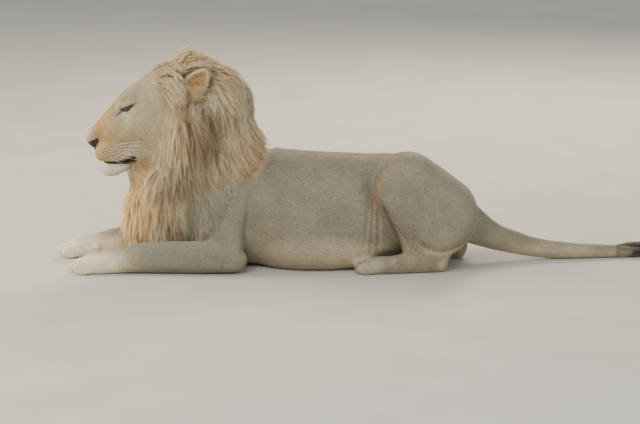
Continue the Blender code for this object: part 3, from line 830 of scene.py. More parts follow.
def coat_colour(points):
    """The coat's markings at points on or over the skin, with painted rim light, painted warm light and
    painted shade mixed in.
    """
    x, y, z = halved(points)
    thigh_edge = bell(x, 0.056 + 2.2 * (z - 0.27) ** 2, 0.011)
    thigh_edge = thigh_edge * ramp(z, 0.14, 0.24) * ramp(y, 0.13, 0.17)
    gap = bell(x, 0.072 + 0.44 * (0.272 - z), 0.008) * ramp(z, 0.09, 0.12) * fall(z, 0.25, 0.29)
    away = from_thigh(x, z)
    under = ramp(THIGH_RADIUS - away, -0.005, 0.0) * bell(away, THIGH_RADIUS, 0.030)
    hock = fall(z, 0.03, 0.10) * ramp(x, 0.05, 0.10) * fall(x, 0.45, 0.50)
    paws = fall(x, -0.93, -0.82) * fall(z, 0.06, 0.10)
    colours = tint(
        np.tile(SAND, (len(points), 1)),
        (GREY_SAND, 0.8 * ramp(z, 0.00, 0.20)),
        (GREY_SAND * 0.86, 0.7 * bell(x, -0.56, 0.20) * fall(z, 0.34, 0.46)),
        (PALE, 0.75 * fall(z, 0.03, 0.15) * ramp(x, -0.45, -0.25) * fall(x, 0.30, 0.50)),
        (PALE, 0.3 * fall(z, 0.05, 0.12) * fall(x, -0.90, -0.75)),
        (PALE, 0.6 * fall(z, 0.03, 0.08) * ramp(x, -0.1, 0.05)),
        # painted rim light: orange along the top of the back
        (ORANGE, 0.36 * ramp(z, 0.36, 0.43) * fall(y, 0.02, 0.15) * ramp(x, -0.4, 0.0)),
        (ORANGE, 0.38 * thigh_edge * fall(z, 0.36, 0.42)),
        # painted shadow: dark in the gap between the flank's fold and the thigh
        (UMBER * 0.5, 0.70 * gap * ramp(y, 0.10, 0.14)),
        # painted shadow along the underside of the thigh
        (UMBER, 0.45 * under * fall(z, 0.11, 0.17) * ramp(x, 0.19, 0.24)),
        # painted shade in the creases over the hock
        (UMBER, 0.55 * hock_creases(points)),
        (UMBER, 0.50 * hock * ramp(noise(points, 0.03, 7), 0.1, 0.7)),
        (PAW_WHITE, 0.90 * paws),
        # painted shade between the toes
        (UMBER * 0.6, 0.75 * toe_gaps(points)),
        # painted warm light: orange on the forepaws
        (ORANGE, 0.15 * bell(x, -0.88, 0.06) * fall(z, 0.10, 0.16) * (x < -0.6)),
        # painted greenish shade on the lower foreleg
        (GREENISH_SHADE, 0.50 * bell(x, -0.72, 0.12) * fall(z, 0.10, 0.16)),
        (SHADE, 0.40 * bell(x, 0.20, 0.14) * fall(z, 0.05, 0.09)),
        (UMBER, 0.5 * ramp(x, 0.80, 0.98) * ramp(z, 0.0, 0.05)),
        (TUFT * 0.6, ramp(x, 0.968, 1.002)),
    )
    patch = noise(points, 0.10, 3) - 0.5 + 0.8 * (noise(points, 0.020, 4) - 0.5)
    colours = colours * (1 + 0.24 * patch[:, None])
    return face_colour(mane_colour(colours, points), to_head(points))


def mane_colour(colours, points):
    """The mane's bands: a pale ruff, a grey-brown band behind it that is darker hair with painted
    shadow under the ruff's ends, and paler locks with rusty ends.
    """
    x, y, z = halved(points)
    local = to_head(points)
    share = fall(MANE.at(points), -0.015, 0.030)
    front = local[:, 0] + 0.25 * np.maximum(-local[:, 2], 0)
    wave = 0.05 * (noise(points, (0.05, 0.05, 0.16), 5) - 0.5)
    rusty = ramp(noise(points, (0.035, 0.035, 0.15), 10), 0.50, 0.85)
    # The band behind the ruff: darker hair, with painted shadow where the ruff's ends lie over it.
    dark = bell(x + wave, ruff_edge(z) + 0.050, 0.050) * ramp(z, 0.28, 0.36) * ramp(y, 0.05, 0.10)
    dark = dark * fall(z, 0.58, 0.66)
    streak = ramp(noise(points, (0.022, 0.022, 0.12), 6), 0.52, 0.80)
    streaked = 0.90 * dark + 0.45 * streak * ramp(x - ruff_edge(z), -0.02, 0.03)
    shoulder_streak = 0.55 * share * bell(x, -0.60, 0.06) * bell(z, 0.22, 0.10) * ramp(streak, 0.1, 0.7)
    throat = share * ramp(-x, 0.74, 0.80) * fall(z, 0.36, 0.46)
    return tint(
        colours,
        (CREAM, 0.75 * share),
        (RUST * 0.85, 0.50 * share * rusty),
        (RUST * 0.8, 0.50 * share * bell(front, 0.37, 0.03) * ramp(z, 0.40, 0.50)),
        (UMBER * 0.9, share * streaked),
        (UMBER, 0.35 * share * ramp(front, 0.60, 0.72) * ramp(z, 0.35, 0.50)),
        # pale chest hair, made brighter as painted warm light on the chest's front
        (LIT_CHEST_CREAM, 0.95 * throat),
        (PALE, 0.50 * share * bell(x, -0.66, 0.07) * bell(z, 0.22, 0.09)),
        (UMBER, shoulder_streak),
        (ORANGE, 0.45 * share * ramp(x, -0.42, -0.34) * ramp(z, 0.15, 0.3)),
        (CREST_CREAM, 0.85 * share * ramp(z, 0.69, 0.76)),
    )


def face_colour(colours, local):
    """The face: rusty bridge, pale muzzle, white chin and under-eye patch, black lips and lids, and a
    painted highlight on top of the nose.
    """
    x, y, z = halved(local)
    face = fall(x, 0.30, 0.38) * ramp(z, -0.22, -0.18)
    colours = muzzle_colour(colours, local, face)
    lip = bell(z, mouth_height(x) - 0.002, 0.0045 + 0.0085 * ramp(x, 0.045, 0.10))
    colours = tint(colours, (BLACK, 1.4 * lip * ramp(x, 0.0, 0.02) * fall(x, 0.120, 0.134)))
    mottle = noise(local, (0.030, 0.014, 0.016), 14) - 0.5
    colours = colours * (1 + 0.22 * (face * mottle)[:, None])
    crown = ramp(z, 0.09, 0.13) * ramp(x, 0.17, 0.22) * face
    lines = ramp(noise(local, (0.05, 0.010, 0.05), 8), 0.5, 0.8)
    colours = eye_colour(tint(colours, (UMBER, 0.22 * crown * lines)), local)
    # painted highlight on the top of the nose
    nose_highlight = blob(np.stack((x, y, z), -1), (0.006, 0, 0.046), (0.022, 0.03, 0.016))
    cleft = bell(y, 0, 0.0024) * fall(x, 0.02, 0.03) * ramp(z, -0.07, -0.06) * fall(z, -0.02, -0.01)
    return tint(
        colours,
        (LEATHER, fall(leather_edge(local), 0.97, 1.10)),
        (WHITE, 0.55 * nose_highlight),
        (BLACK, 0.9 * cleft * (x > -0.05)),
    )


def muzzle_colour(colours, local, face):
    """The crown, the cheeks, the bridge, the lips' pads with their whisker spots, and the chin."""
    x, y, z = halved(local)
    cheek = blob(np.stack((x, y, z), -1), (0.23, 0.09, -0.03), (0.09, 0.06, 0.08))
    bridge = bell(y, 0, 0.042) * ramp(z, 0.02, 0.045) * ramp(x, 0.0, 0.03) * fall(x, 0.13, 0.20)
    pad = fall(x, 0.075, 0.12) * fall(z, -0.018, 0.006) * ramp(z, -0.22, -0.18)
    mouth = mouth_height(x)
    chin = fall(z, mouth - 0.012, mouth - 0.004) * ramp(z, -0.165, -0.150)
    below = ramp(x, 0.085, 0.11) * fall(x, 0.14, 0.19) * fall(z, -0.16, -0.13) * ramp(z, -0.30, -0.25)
    colours = tint(
        colours,
        (CREAM, 0.50 * face),
        (CROWN_CREAM, 0.65 * bell(x, 0.36, 0.055) * ramp(z, 0.03, 0.10)),
        (CREAM, 0.50 * face * cheek),
        (ORANGE, 0.85 * face * bridge),
        (ORANGE, 0.75 * face * bell(y, 0.040, 0.040) * bell(x, 0.075, 0.060) * bell(z, 0.025, 0.036)),
        (ORANGE, 0.35 * face * bell(x, 0.085, 0.05) * bell(z, -0.018, 0.012) * ramp(y, 0.01, 0.03)),
        (LIP_SAND, 0.75 * pad),
        (WHITE, fall(x, 0.075, 0.105) * chin * face),
        (RUST, 0.50 * chin * face * bell(x, 0.140, 0.030)),
        (THROAT_CREAM, 0.60 * below),
    )
    for row in range(WHISKER_ROWS):
        start, height = whisker_row(row)
        back = x - start
        whisker = np.clip(np.round(back / WHISKER_GAP), 0, WHISKERS_IN_ROW - 1)
        spot = bell(back - WHISKER_GAP * whisker, 0, 0.0055) * bell(z, height - 0.10 * back, 0.0028)
        colours = tint(colours, (UMBER * 0.4, 1.1 * spot * (y > 0.015)))
    return colours


def eye_colour(colours, local):
    """The white patch under the eye and the small one over it, the brow's line, and the dark lids."""
    along, up, out = eye_space(local)
    near = ramp(out, -0.02, 0.0)
    rim = np.abs(up) - slit_height(along)
    tear = bell(up, 0.30 * (along + 0.019), 0.0042)
    tear = tear * ramp(-along, 0.016, 0.020) * fall(-along, 0.038, 0.052)
    outer = bell(up, 0.10 * (along - 0.02), 0.0038)
    outer = outer * ramp(along, 0.017, 0.020) * fall(along, 0.034, 0.048)
    return tint(
        colours,
        (WHITE, 1.3 * near * bell(up, -0.0140 - 0.15 * along, 0.0075) * bell(along, -0.004, 0.026)),
        (WHITE, 0.35 * near * bell(up, 0.019, 0.006) * bell(along, 0.006, 0.020)),
        (UMBER, 0.60 * near * bell(up, 0.033, 0.007) * bell(along, -0.006, 0.016)),
        (BLACK, near * fall(rim, 0.0034, 0.0056) * fall(np.abs(along), 0.024, 0.028)),
        (BLACK, 0.85 * near * (tear + outer)),
    )


def leather_edge(local):
    """Below 1 on the bare nose, which is widest at its top and wraps round the nostrils."""
    x, y, z = halved(local)
    back = 0.034 - 0.70 * np.clip(0.010 - z, 0, 0.04)
    edge = np.maximum(x / np.maximum(back, 0.004), np.abs(z + 0.003) / 0.0245)
    edge = np.maximum(edge, y / np.interp(z, (-0.0275, -0.006, 0.016), (0.015, 0.031, 0.038)))
    return np.where(x > -0.05, edge, 9.0)


def skin_colour(points):
    """The coat's colours with the ears' own: a pale rim and a rusty hollow, with painted shade in its
    lower part.
    """
    colours, local = coat_colour(points), to_head(points)
    for side in (LEFT, RIGHT):
        p = ear_space(local, side)
        on_ear = fall(egg(p, *EAR_CUP), 0.001, 0.005)
        hollow = egg(p, *EAR_HOLLOW)
        inside = on_ear * fall(hollow, -0.003, 0.003)
        colours = tint(
            colours,
            (CREAM, 0.8 * on_ear * bell(hollow, 0.006, 0.005)),
            (ORANGE, 0.85 * on_ear * fall(hollow, -0.003, 0.003)),
            # painted shade in the lower part of the ear's hollow
            (UMBER * 0.5, 0.8 * (inside * fall(p[:, 2], -0.035, 0.015))),
        )
    return colours


# -------- the lie of the coat
# Each row: centre (y is the distance from the middle), reach, and the way the hair points there.

MANE_LIE = (
    ((-0.70, 0.00, 0.75), 0.07, (0.60, 0.00, 0.80)),
    ((-0.64, 0.00, 0.78), 0.05, (0.85, 0.00, 0.45)),
    ((-0.57, 0.00, 0.79), 0.07, (1.00, 0.00, -0.10)),
    ((-0.50, 0.03, 0.74), 0.08, (0.75, 0.10, -0.60)),
    ((-0.42, 0.05, 0.60), 0.10, (0.50, 0.10, -0.85)),
    ((-0.38, 0.10, 0.45), 0.10, (0.50, 0.15, -0.85)),
    ((-0.69, 0.11, 0.62), 0.07, (-0.05, 0.35, -0.90)),
    ((-0.70, 0.13, 0.50), 0.08, (-0.05, 0.20, -1.00)),
    ((-0.75, 0.08, 0.40), 0.08, (0.00, 0.10, -1.00)),
    ((-0.57, 0.16, 0.58), 0.09, (0.35, 0.20, -0.90)),
    ((-0.55, 0.18, 0.42), 0.10, (0.25, 0.10, -0.95)),
    ((-0.52, 0.18, 0.28), 0.10, (0.28, 0.10, -0.95)),
    ((-0.78, 0.00, 0.30), 0.10, (-0.10, 0.00, -1.00)),
    ((-0.80, 0.05, 0.18), 0.10, (-0.05, 0.10, -1.00)),
    ((-0.66, 0.17, 0.20), 0.10, (0.05, 0.10, -1.00)),
)
BODY_LIE = (
    ((-0.20, 0.00, 0.42), 0.20, (1.00, 0.00, -0.05)),
    ((0.30, 0.00, 0.42), 0.20, (1.00, 0.00, -0.10)),
    ((-0.20, 0.20, 0.25), 0.15, (0.95, 0.00, -0.30)),
    ((0.10, 0.20, 0.15), 0.12, (0.95, 0.00, -0.20)),
    ((-0.45, 0.20, 0.25), 0.12, (0.35, 0.00, -0.95)),
    ((-0.45, 0.20, 0.05), 0.10, (0.20, 0.00, -0.95)),
    ((-0.70, 0.17, 0.06), 0.12, (-0.95, 0.00, -0.30)),
    ((-0.95, 0.15, 0.04), 0.12, (-0.98, 0.00, -0.20)),
    ((0.25, 0.18, 0.32), 0.12, (0.55, 0.00, -0.80)),
    ((0.40, 0.18, 0.22), 0.12, (0.30, 0.00, -0.95)),
    ((0.28, 0.20, 0.12), 0.08, (0.35, 0.00, -0.90)),
    ((0.20, 0.20, 0.03), 0.10, (-0.95, 0.00, -0.10)),
    ((0.55, 0.00, 0.20), 0.10, (0.85, 0.00, -0.40)),
    ((0.85, 0.00, 0.05), 0.25, (1.00, 0.00, -0.05)),
)
FACE_LIE = (
    ((0.01, 0.00, 0.04), 0.04, (0.70, 0.00, 0.70)),
    ((0.09, 0.02, 0.09), 0.05, (0.90, 0.10, 0.35)),
    ((0.17, 0.02, 0.12), 0.05, (0.95, 0.20, 0.30)),
    ((0.28, 0.02, 0.15), 0.07, (1.00, 0.25, 0.05)),
    ((0.05, 0.05, -0.04), 0.04, (0.80, 0.30, -0.55)),
    ((0.10, 0.06, 0.01), 0.05, (0.90, 0.20, -0.25)),
    ((0.19, 0.08, 0.03), 0.05, (0.95, 0.20, -0.25)),
    ((0.21, 0.08, 0.12), 0.04, (0.90, 0.35, 0.25)),
    ((0.25, 0.09, -0.04), 0.07, (0.75, 0.20, -0.65)),
    ((0.33, 0.10, 0.05), 0.07, (0.80, 0.25, -0.45)),
    ((0.04, 0.02, -0.13), 0.05, (0.55, 0.10, -0.80)),
    ((0.20, 0.05, -0.14), 0.07, (0.75, 0.10, -0.65)),
)
FORELOCK_LIE = (
    ((-0.68, 0.10, 0.72), 0.10, (0.40, 0.55, -0.40)),
    ((-0.62, 0.13, 0.66), 0.10, (0.55, 0.25, -0.75)),
)
TUFT_LIE = (((1.0, 0, 0.02), 1.0, (1.0, 0.0, -0.05)),)


def lie(points, rows):
    """The way the hair points, mixed from the rows by how near they are."""
    mirrored = np.stack(halved(points), -1)
    total = np.zeros_like(points)
    for centre, reach, direction in rows:
        gap = ((mirrored - np.array(centre)) ** 2).sum(axis=-1) / reach ** 2
        total += np.array(direction) / (1e-3 + gap ** 2)[:, None]
    total[:, 1] *= np.sign(points[:, 1]) + (points[:, 1] == 0)
    return unit(total)


def short_lie(points):
    """The lie of the short coat, over the face and the body."""
    local = to_head(points)
    share = on_face(local)[:, None]
    return unit(lie(points, BODY_LIE) * (1 - share) + (lie(local, FACE_LIE) @ HEAD_TURN.T) * share)


# -------- tufts and locks

# How deep hairs are rooted, how near the floor tips come, the most triangles of a piece, the size of a
# tuft's patch on the unwrap, how high its ridge is and how round its normals are.
ROOT_DEPTH = 0.003
FLOOR_TOUCH = 0.0004
PIECE_LIMIT = 190000
PATCH_SIZE = 0.003
RIDGE = 0.7
ROUNDNESS = 0.55
# How much hairs stray sideways and differ in shade, and how much locks differ in shade.
STRAY = 0.16
HAIR_SHADE, LOCK_SHADE = 0.07, 0.11


def nearest(places, points):
    """For each point, which of the places lies nearest to it."""
    tree = kdtree.KDTree(len(places))
    for k, place in enumerate(places):
        tree.insert(place, k)
    tree.balance()
    return np.array([tree.find(point)[1] for point in points])


class Surface:
    """The skin's triangles, with what a hair needs to know of its root."""

    def __init__(self, mesh):
        mesh.calc_loop_triangles()
        self.corners = read(mesh.loop_triangles, "vertices", 3, np.int32)
        self.points = coordinates(mesh)
        self.normals = vertex_normals(mesh)
        loops = read(mesh.loop_triangles, "loops", 3, np.int32)
        self.uv = read(mesh.uv_layers["OFBake"].uv, "vector", 2)[loops]
        a, b, c = (self.points[self.corners[:, k]] for k in range(3))
        self.areas = 0.5 * np.linalg.norm(np.cross(b - a, c - a), axis=-1)
        self.middles = (a + b + c) / 3

    def spots(self, points):
        """The places on the unwrap of the parts of the skin nearest to some points of the head."""
        ahead = np.flatnonzero(to_head(self.middles)[:, 0] < 0.60)
        return self.uv[ahead[nearest(self.middles[ahead], points)]].mean(axis=1)

    def roots(self, count, weight, rng):
        """That many places on the skin, spread by weight: points, normals and places on the unwrap."""
        share = np.cumsum(self.areas * weight)
        wanted = (np.arange(count) + rng.random(count)) / count * share[-1]
        found = np.minimum(np.searchsorted(share, wanted), len(share) - 1)
        a, b = rng.random(count), rng.random(count)
        flip = a + b > 1
        a[flip], b[flip] = 1 - a[flip], 1 - b[flip]
        mix = np.stack((1 - a - b, a, b), -1)[..., None]
        corners = self.corners[found]
        points = (self.points[corners] * mix).sum(axis=1)
        normals = unit((self.normals[corners] * mix).sum(axis=1))
        return points, normals, (self.uv[found] * mix).sum(axis=1)


def tuft_faces(body):
    """The triangles of one tuft with that many three-cornered rings under its tip."""
    faces = []
    for ring in range(body - 1):
        for k in range(3):
            a, b = ring * 3 + k, ring * 3 + (k + 1) % 3
            faces += [(a, a + 3, b), (b, a + 3, b + 3)]
    last = (body - 1) * 3
    faces += [(last + k, body * 3, last + (k + 1) % 3) for k in range(3)]
    return np.array(faces)


def tufts(name, paths, across, lift, widths, colours, uv, soft_normals=None):
    """Three-sided tapering tufts along paths, as one piece.

    paths and colours are arrays of tuft, ring and three numbers; the last ring is the tip.
    """
    count, rings = paths.shape[:2]
    body = rings - 1
    wide = across[:, None, :] * widths[:, :body, None]
    high = lift[:, None, :] * widths[:, :body, None]
    rooted = paths[:, :body]
    sides = np.stack((rooted + wide, rooted - wide, rooted + RIDGE * high), axis=2)
    points = np.concatenate((sides.reshape(count, body * 3, 3), paths[:, -1:]), axis=1)
    faces = tuft_faces(body)
    each = body * 3 + 1
    indices = (faces[None] + (np.arange(count) * each)[:, None, None]).ravel()
    mesh = bpy.data.meshes.new(name)
    mesh.vertices.add(count * each)
    mesh.vertices.foreach_set("co", points.astype(np.float32).ravel())
    mesh.loops.add(len(indices))
    mesh.loops.foreach_set("vertex_index", indices.astype(np.int32))
    mesh.polygons.add(len(indices) // 3)
    mesh.polygons.foreach_set("loop_start", np.arange(0, len(indices), 3, dtype=np.int32))
    mesh.update(calc_edges=True)
    shades = np.concatenate((np.repeat(colours[:, :body], 3, axis=1), colours[:, -1:]), axis=1)
    paint(mesh, shades.reshape(-1, 3))
    along = np.concatenate((np.repeat(np.arange(body) / body, 3), [1.0])) - 0.5
    beside = np.concatenate((np.tile((0.5, -0.5, 0.0), body), [0.0]))
    spots = uv[:, None, :] + PATCH_SIZE * np.stack((along, beside), -1)[None]
    layer = mesh.uv_layers.new(name="OFBake")
    layer.uv.foreach_set("vector", spots.reshape(-1, 2)[indices].astype(np.float32).ravel())
    mesh.shade_smooth()
    if soft_normals is not None:
        soften(mesh, across, lift, soft_normals, body)
    return placed(name, mesh)


def soften(mesh, across, lift, soft_normals, body):
    """Give tufts rounded normals, drawn towards those of the skin under them."""
    rounded = np.stack((across, -across, lift), axis=1)
    rounded = unit(soft_normals[:, None, :] + ROUNDNESS * rounded)
    rounded = np.concatenate((np.tile(rounded, (1, body, 1)), soft_normals[:, None, :]), axis=1)
    mesh.normals_split_custom_set_from_vertices(rounded.reshape(-1, 3).astype(np.float32))


def in_pieces(name, *arrays):
    """Tufts in as few pieces as keep under the limit of triangles; the arrays are those of tufts."""
    count, rings = arrays[0].shape[:2]
    parts = math.ceil(count / (PIECE_LIMIT // (6 * (rings - 2) + 3)))
    ends = [count * k // parts for k in range(parts + 1)]
    return [
        tufts(f"{name}_{k + 1}", *(array[ends[k]:ends[k + 1]] for array in arrays))
        for k in range(parts)
    ]


def short_coat(name, weight, length, width, count, rise, seed):
    """Short tufts lying along the body, as many pieces as they need."""
    rng = np.random.default_rng(seed)
    points, normals, uv = SURFACE.roots(count, weight, rng)
    way = unit(square_to(short_lie(points), normals))
    across = np.cross(normals, way)
    way = unit(way + across * rng.normal(0, STRAY, (count, 1)))
    across = np.cross(normals, way)
    lengths = length(points) * rng.uniform(0.7, 1.25, count)
    widths = width(points) * rng.uniform(0.8, 1.2, count)
    rises = rise * rng.uniform(0.5, 1.5, (count, 1))
    start = points - normals * widths[:, None] * 0.4
    tip = points + (way + normals * rises) * lengths[:, None]
    tip[:, 2] = np.maximum(tip[:, 2], FLOOR_TOUCH)
    paths = np.stack((start, tip), axis=1)
    base = skin_colour(points) * rng.normal(1.0, HAIR_SHADE, (count, 1))
    # each tuft darker at its root as painted shade, and lighter at its tip
    colours = np.stack((base * 0.86, base * 1.10), axis=1)
    return in_pieces(name, paths, across, normals, widths[:, None], colours, uv, normals)


# -------- long hair

# The rings of a long hair, its tip included, and the share of its half width at each but the tip.
RINGS = 3
TAPER = np.array((0.85, 0.90))
# How slowly a lock turns, how much it falls towards its tip, and the lowest and the highest places.
STIFFNESS = 0.72
DROOP = 0.35
LOCK_FLOOR = 0.004
HAIR_FLOOR, HAIR_TOP = 0.003, 0.834


def past_border(local):
    """How far a place of the head lies behind the line where the face's short hair ends."""
    z = local[:, 2] - 0.02
    return local[:, 0] - (0.335 + 0.80 * np.minimum(z, 0) + 0.15 * np.maximum(z, 0))


def mane_back(z):
    """How far back along the body the mane reaches at each height."""
    heights = (0.10, 0.16, 0.24, 0.34, 0.44, 0.52, 0.75)
    return np.interp(z, heights, (-0.66, -0.56, -0.51, -0.45, -0.375, -0.37, -0.45))


def ruff_edge(z):
    """Where the ruff's ends lie over the hair behind it, painted darker and with painted shadow, at
    each height.
    """
    return np.interp(z, (0.30, 0.34, 0.40, 0.515, 0.62), (-0.775, -0.725, -0.680, -0.620, -0.612))


def ear_gap(points):
    """Distance to the nearer ear."""
    local = to_head(points)
    return np.minimum(ear_distance(local, LEFT), ear_distance(local, RIGHT))


def off_ear(points):
    """Where long hair can grow beside the ears and not on them."""
    return ear_gap(points) > 0.0015


def mane_weight(points):
    """How thickly the long hair grows at places on the skin."""
    local = to_head(points)
    x, y, z = halved(points)
    ahead = mane_back(z) - x
    behind_face = ramp(past_border(local), -0.035, 0.015)
    under_jaw = fall(z, 0.34, 0.37) * (1 - ramp(z, 0.29, 0.31) * (x < -0.82))
    throat = ramp(-local[:, 2] - 0.3 * np.maximum(0.14 - local[:, 0], 0), 0.113, 0.128)
    under_jaw = np.maximum(under_jaw, throat * (local[:, 0] > 0.085))
    low = np.where(y > 0.085, ramp(z, 0.118, 0.140), ramp(z, 0.06, 0.09))
    low *= 1 - fall(x, -0.88, -0.85) * fall(z, 0.20, 0.24)
    return ramp(ahead, -0.01, 0.08) * np.maximum(behind_face, under_jaw) * low * off_ear(points)


def full_mane(local, start, end):
    """1 where the mane is full, less on the cheek between the start and the end behind the border."""
    below, above = ramp(-local[:, 2], 0.15, 0.17), ramp(local[:, 2], 0.09, 0.12)
    return np.maximum(np.maximum(ramp(past_border(local), start, end), below), above)


def mane_length(points):
    """The long hair's length: short on the crest and the cheeks, longest in the ruff and the chest."""
    local = to_head(points)
    z = points[:, 2]
    length = np.full(len(points), 0.100)
    length += 0.035 * blob(local, (0.32, 0, -0.07), (0.07, 0.3, 0.12))
    length += 0.015 * fall(z, 0.20, 0.35)
    length -= 0.036 * ramp(z, 0.68, 0.76)
    length *= 0.40 + 0.60 * full_mane(local, -0.02, 0.05)
    length *= 0.55 + 0.45 * ramp(mane_back(z) - points[:, 0], 0.0, 0.10)
    return length * (0.70 + 0.30 * fall(MANE.at(points), -0.034, -0.008))


def mane_rise(points):
    """How far the mane stands off the skin: to its outline, more on the crest, less at its edges."""
    x, y, z = halved(points)
    full = full_mane(to_head(points), -0.01, 0.06)
    rise = np.clip(-MANE.at(points), 0.012, 0.044)
    rise = rise * (0.50 + 0.50 * ramp(mane_back(z) - x, 0.0, 0.12))
    rise = rise * (0.35 + 0.65 * full)
    side = ramp(y, 0.05, 0.10) * ramp(z, 0.30, 0.40)
    behind = ramp(x - ruff_edge(z), -0.025, 0.015)
    rise = rise + 0.022 * full * side * (1 - behind) - 0.012 * side * behind * (z < 0.60)
    return rise + 0.012 * blob(points, (-0.70, 0, 0.75), (0.04, 0.07, 0.06))


def march(points, normals, rows, lengths, rises, rng):
    """Paths that leave the skin, turn with the lie of the coat and stay over the skin."""
    steps = 2 * (RINGS - 1)
    way = unit(lie(points, rows) + 0.55 * normals)
    sway = rng.normal(0, STRAY, points.shape)
    at = points
    path = [points - normals * ROOT_DEPTH]
    for k in range(1, steps + 1):
        t = k / steps
        out = VOLUME.out(at)
        aim = lie(at, rows) + sway * t + np.array((0, 0, -DROOP * t))
        aim = unit(aim - 0.8 * out * (aim * out).sum(axis=-1, keepdims=True))
        way = unit(way * STIFFNESS + aim * (1 - STIFFNESS))
        at = at + way * (lengths / steps)[:, None]
        want = rises * ramp(t, -0.25, 0.6) * (1 - 0.4 * t * t)
        out = VOLUME.out(at)
        at = at + out * np.clip(want - VOLUME.at(at), -0.012, 0.020)[:, None]
        at[:, 2] = np.maximum(at[:, 2], LOCK_FLOOR)
        if k % 2 == 0:
            path.append(at)
    return np.stack(path, axis=1)


def over_skin(paths):
    """Hairs lifted out of the skin and kept off the floor and under the crest's highest place."""
    flat = paths.reshape(-1, 3)
    wanted = 0.002 + 0.004 * np.tile(np.linspace(0, 1, RINGS), len(paths))
    flat = flat + VOLUME.out(flat) * np.clip(wanted - VOLUME.at(flat), 0, 0.03)[:, None]
    flat[:, 2] = np.clip(flat[:, 2], HAIR_FLOOR, HAIR_TOP)
    return flat.reshape(paths.shape)


def long_hair(name, weight, rows, length, rise, clumps, count, half_width, pull, seed):
    """Long hair in locks: each hair follows the lock it stands nearest to and draws in to its tip."""
    rng = np.random.default_rng(seed)
    points, normals, _ = SURFACE.roots(clumps, weight, rng)
    lengths = length(points) * rng.uniform(0.75, 1.25, clumps)
    rises = rise(points) * rng.uniform(0.35, 1.0, clumps)
    guides = march(points, normals, rows, lengths, rises, rng)
    roots, normals, uv = SURFACE.roots(count, weight, rng)
    lock = nearest(points, roots)
    t = np.linspace(0, 1, RINGS)[None, :, None]
    own = rng.uniform(0.72, 1.06, (count, 1, 1))
    run = guides[lock] - guides[lock][:, :1]
    off = (roots - points[lock])[:, None, :]
    wisp = np.cumsum(rng.normal(0, 0.0021, (count, RINGS, 3)), axis=1) * t
    paths = roots[:, None, :] + run * own + off * (1 - pull * t) - off + wisp
    paths[:, 0] = roots - normals * ROOT_DEPTH
    paths = over_skin(paths)
    soft = VOLUME.out(paths[:, -2])
    run = unit(paths[:, -1] - paths[:, 0])
    across = unit(np.cross(soft, run))
    widths = half_width * TAPER[None, :] * rng.uniform(0.7, 1.3, (count, 1))
    shade = rng.normal(1.0, HAIR_SHADE, (count, 1, 1))
    shade = shade * rng.normal(1.0, LOCK_SHADE, clumps)[lock][:, None, None]
    own_colour = coat_colour(paths.reshape(-1, 3)).reshape(paths.shape)
    base = 0.25 * own_colour + 0.75 * coat_colour(points)[lock][:, None, :]
    hairline = fall(past_border(to_head(roots)), 0.02, 0.07)[:, None, None]
    # Each hair darker at its root as painted shade, less so at the face's hairline, and lighter at its
    # tip.
    dark = np.interp(t, (0, 0.35, 1), (0.48, 0.10, -0.15))
    colours = base * shade * (1 - dark * (1 - 0.7 * hairline))
    return in_pieces(name, paths, across, np.cross(run, across), widths, colours, uv, soft)


def mane():
    """The mane, from the crest to the chest."""
    return long_hair(
        "mane_locks", mane_weight(SURFACE.middles), MANE_LIE, mane_length, mane_rise,
        clumps=6400, count=96000, half_width=0.00112, pull=0.62, seed=11,
    )


def same_for_all(value):
    """A function that gives every point one value."""
    return lambda points: np.full(len(points), value)


def forelocks():
    """The longer pale hair that hangs in front of each ear and over its root."""
    middles = SURFACE.middles
    local = np.stack(halved(to_head(middles)), -1)
    weight = blob(local, (0.385, 0.095, 0.072), (0.028, 0.035, 0.040)) * off_ear(middles)
    return long_hair(
        "fore_locks", weight, FORELOCK_LIE, same_for_all(0.090), same_for_all(0.052),
        clumps=150, count=4000, half_width=0.0010, pull=0.58, seed=13,
    )


def tail_hair_length(points):
    """The tail tuft's length, which keeps its tips at one place."""
    return np.clip(1.135 - points[:, 0], 0.03, 0.085)


def tail_tuft():
    """The dark tuft on the tail's end."""
    return long_hair(
        "tuft_locks", ramp(SURFACE.middles[:, 0], 0.955, 1.0), TUFT_LIE, tail_hair_length,
        same_for_all(0.016), clumps=130, count=4600, half_width=0.0012, pull=0.5, seed=12,
    )


# -------- short hair

def body_length(points):
    """The short coat's length: longer under the belly and behind the elbow, short on the feet."""
    x, z = points[:, 0], points[:, 2]
    feet = fall(z, 0.06, 0.12) * (ramp(-x, 0.55, 0.80) + ramp(x, 0.0, 0.1) * fall(x, 0.45, 0.5))
    belly = fall(z, 0.02, 0.12) * ramp(x, -0.45, -0.30) * fall(x, -0.15, -0.05)
    return 0.017 - 0.008 * feet + 0.010 * belly


def body_width(points):
    """The short coat's half width."""
    return 0.00115 * body_length(points) / 0.017


def face_length(points):
    """The face's hair, from 4.5 mm on the nose to 13 mm at the cheek."""
    local = to_head(points)
    return 0.0045 + 0.0085 * ramp(local[:, 0], 0.05, 0.27) + 0.006 * ramp(-local[:, 2], 0.10, 0.15)


def face_width(points):
    """The face's half width of tuft."""
    return 0.00050 + 0.0004 * ramp(to_head(points)[:, 0], 0.05, 0.27)


def coat():
    """The short coat of the body and the face."""
    local = to_head(SURFACE.middles)
    face = on_face(local)
    along, up, out = eye_space(local)
    bare = (np.abs(up) < 0.0060) & (np.abs(along) < 0.026) & (out > 0)
    bare |= leather_edge(local) < 1.06
    lips = np.abs(local[:, 2] - mouth_height(local[:, 0])) < 0.006
    bare |= lips & (face > 0.5) & (local[:, 0] < 0.132)
    free = ~bare * fall(mane_weight(SURFACE.middles), 0.5, 1.0)
    return short_coat(
        "body_coat", free * (face < 0.5), body_length, body_width, count=98000, rise=0.10, seed=21,
    ) + short_coat(
        "face_coat", free * (face >= 0.5), face_length, face_width, count=50000, rise=0.09, seed=22,
    )


# -------- eyes, nose, whiskers and claws

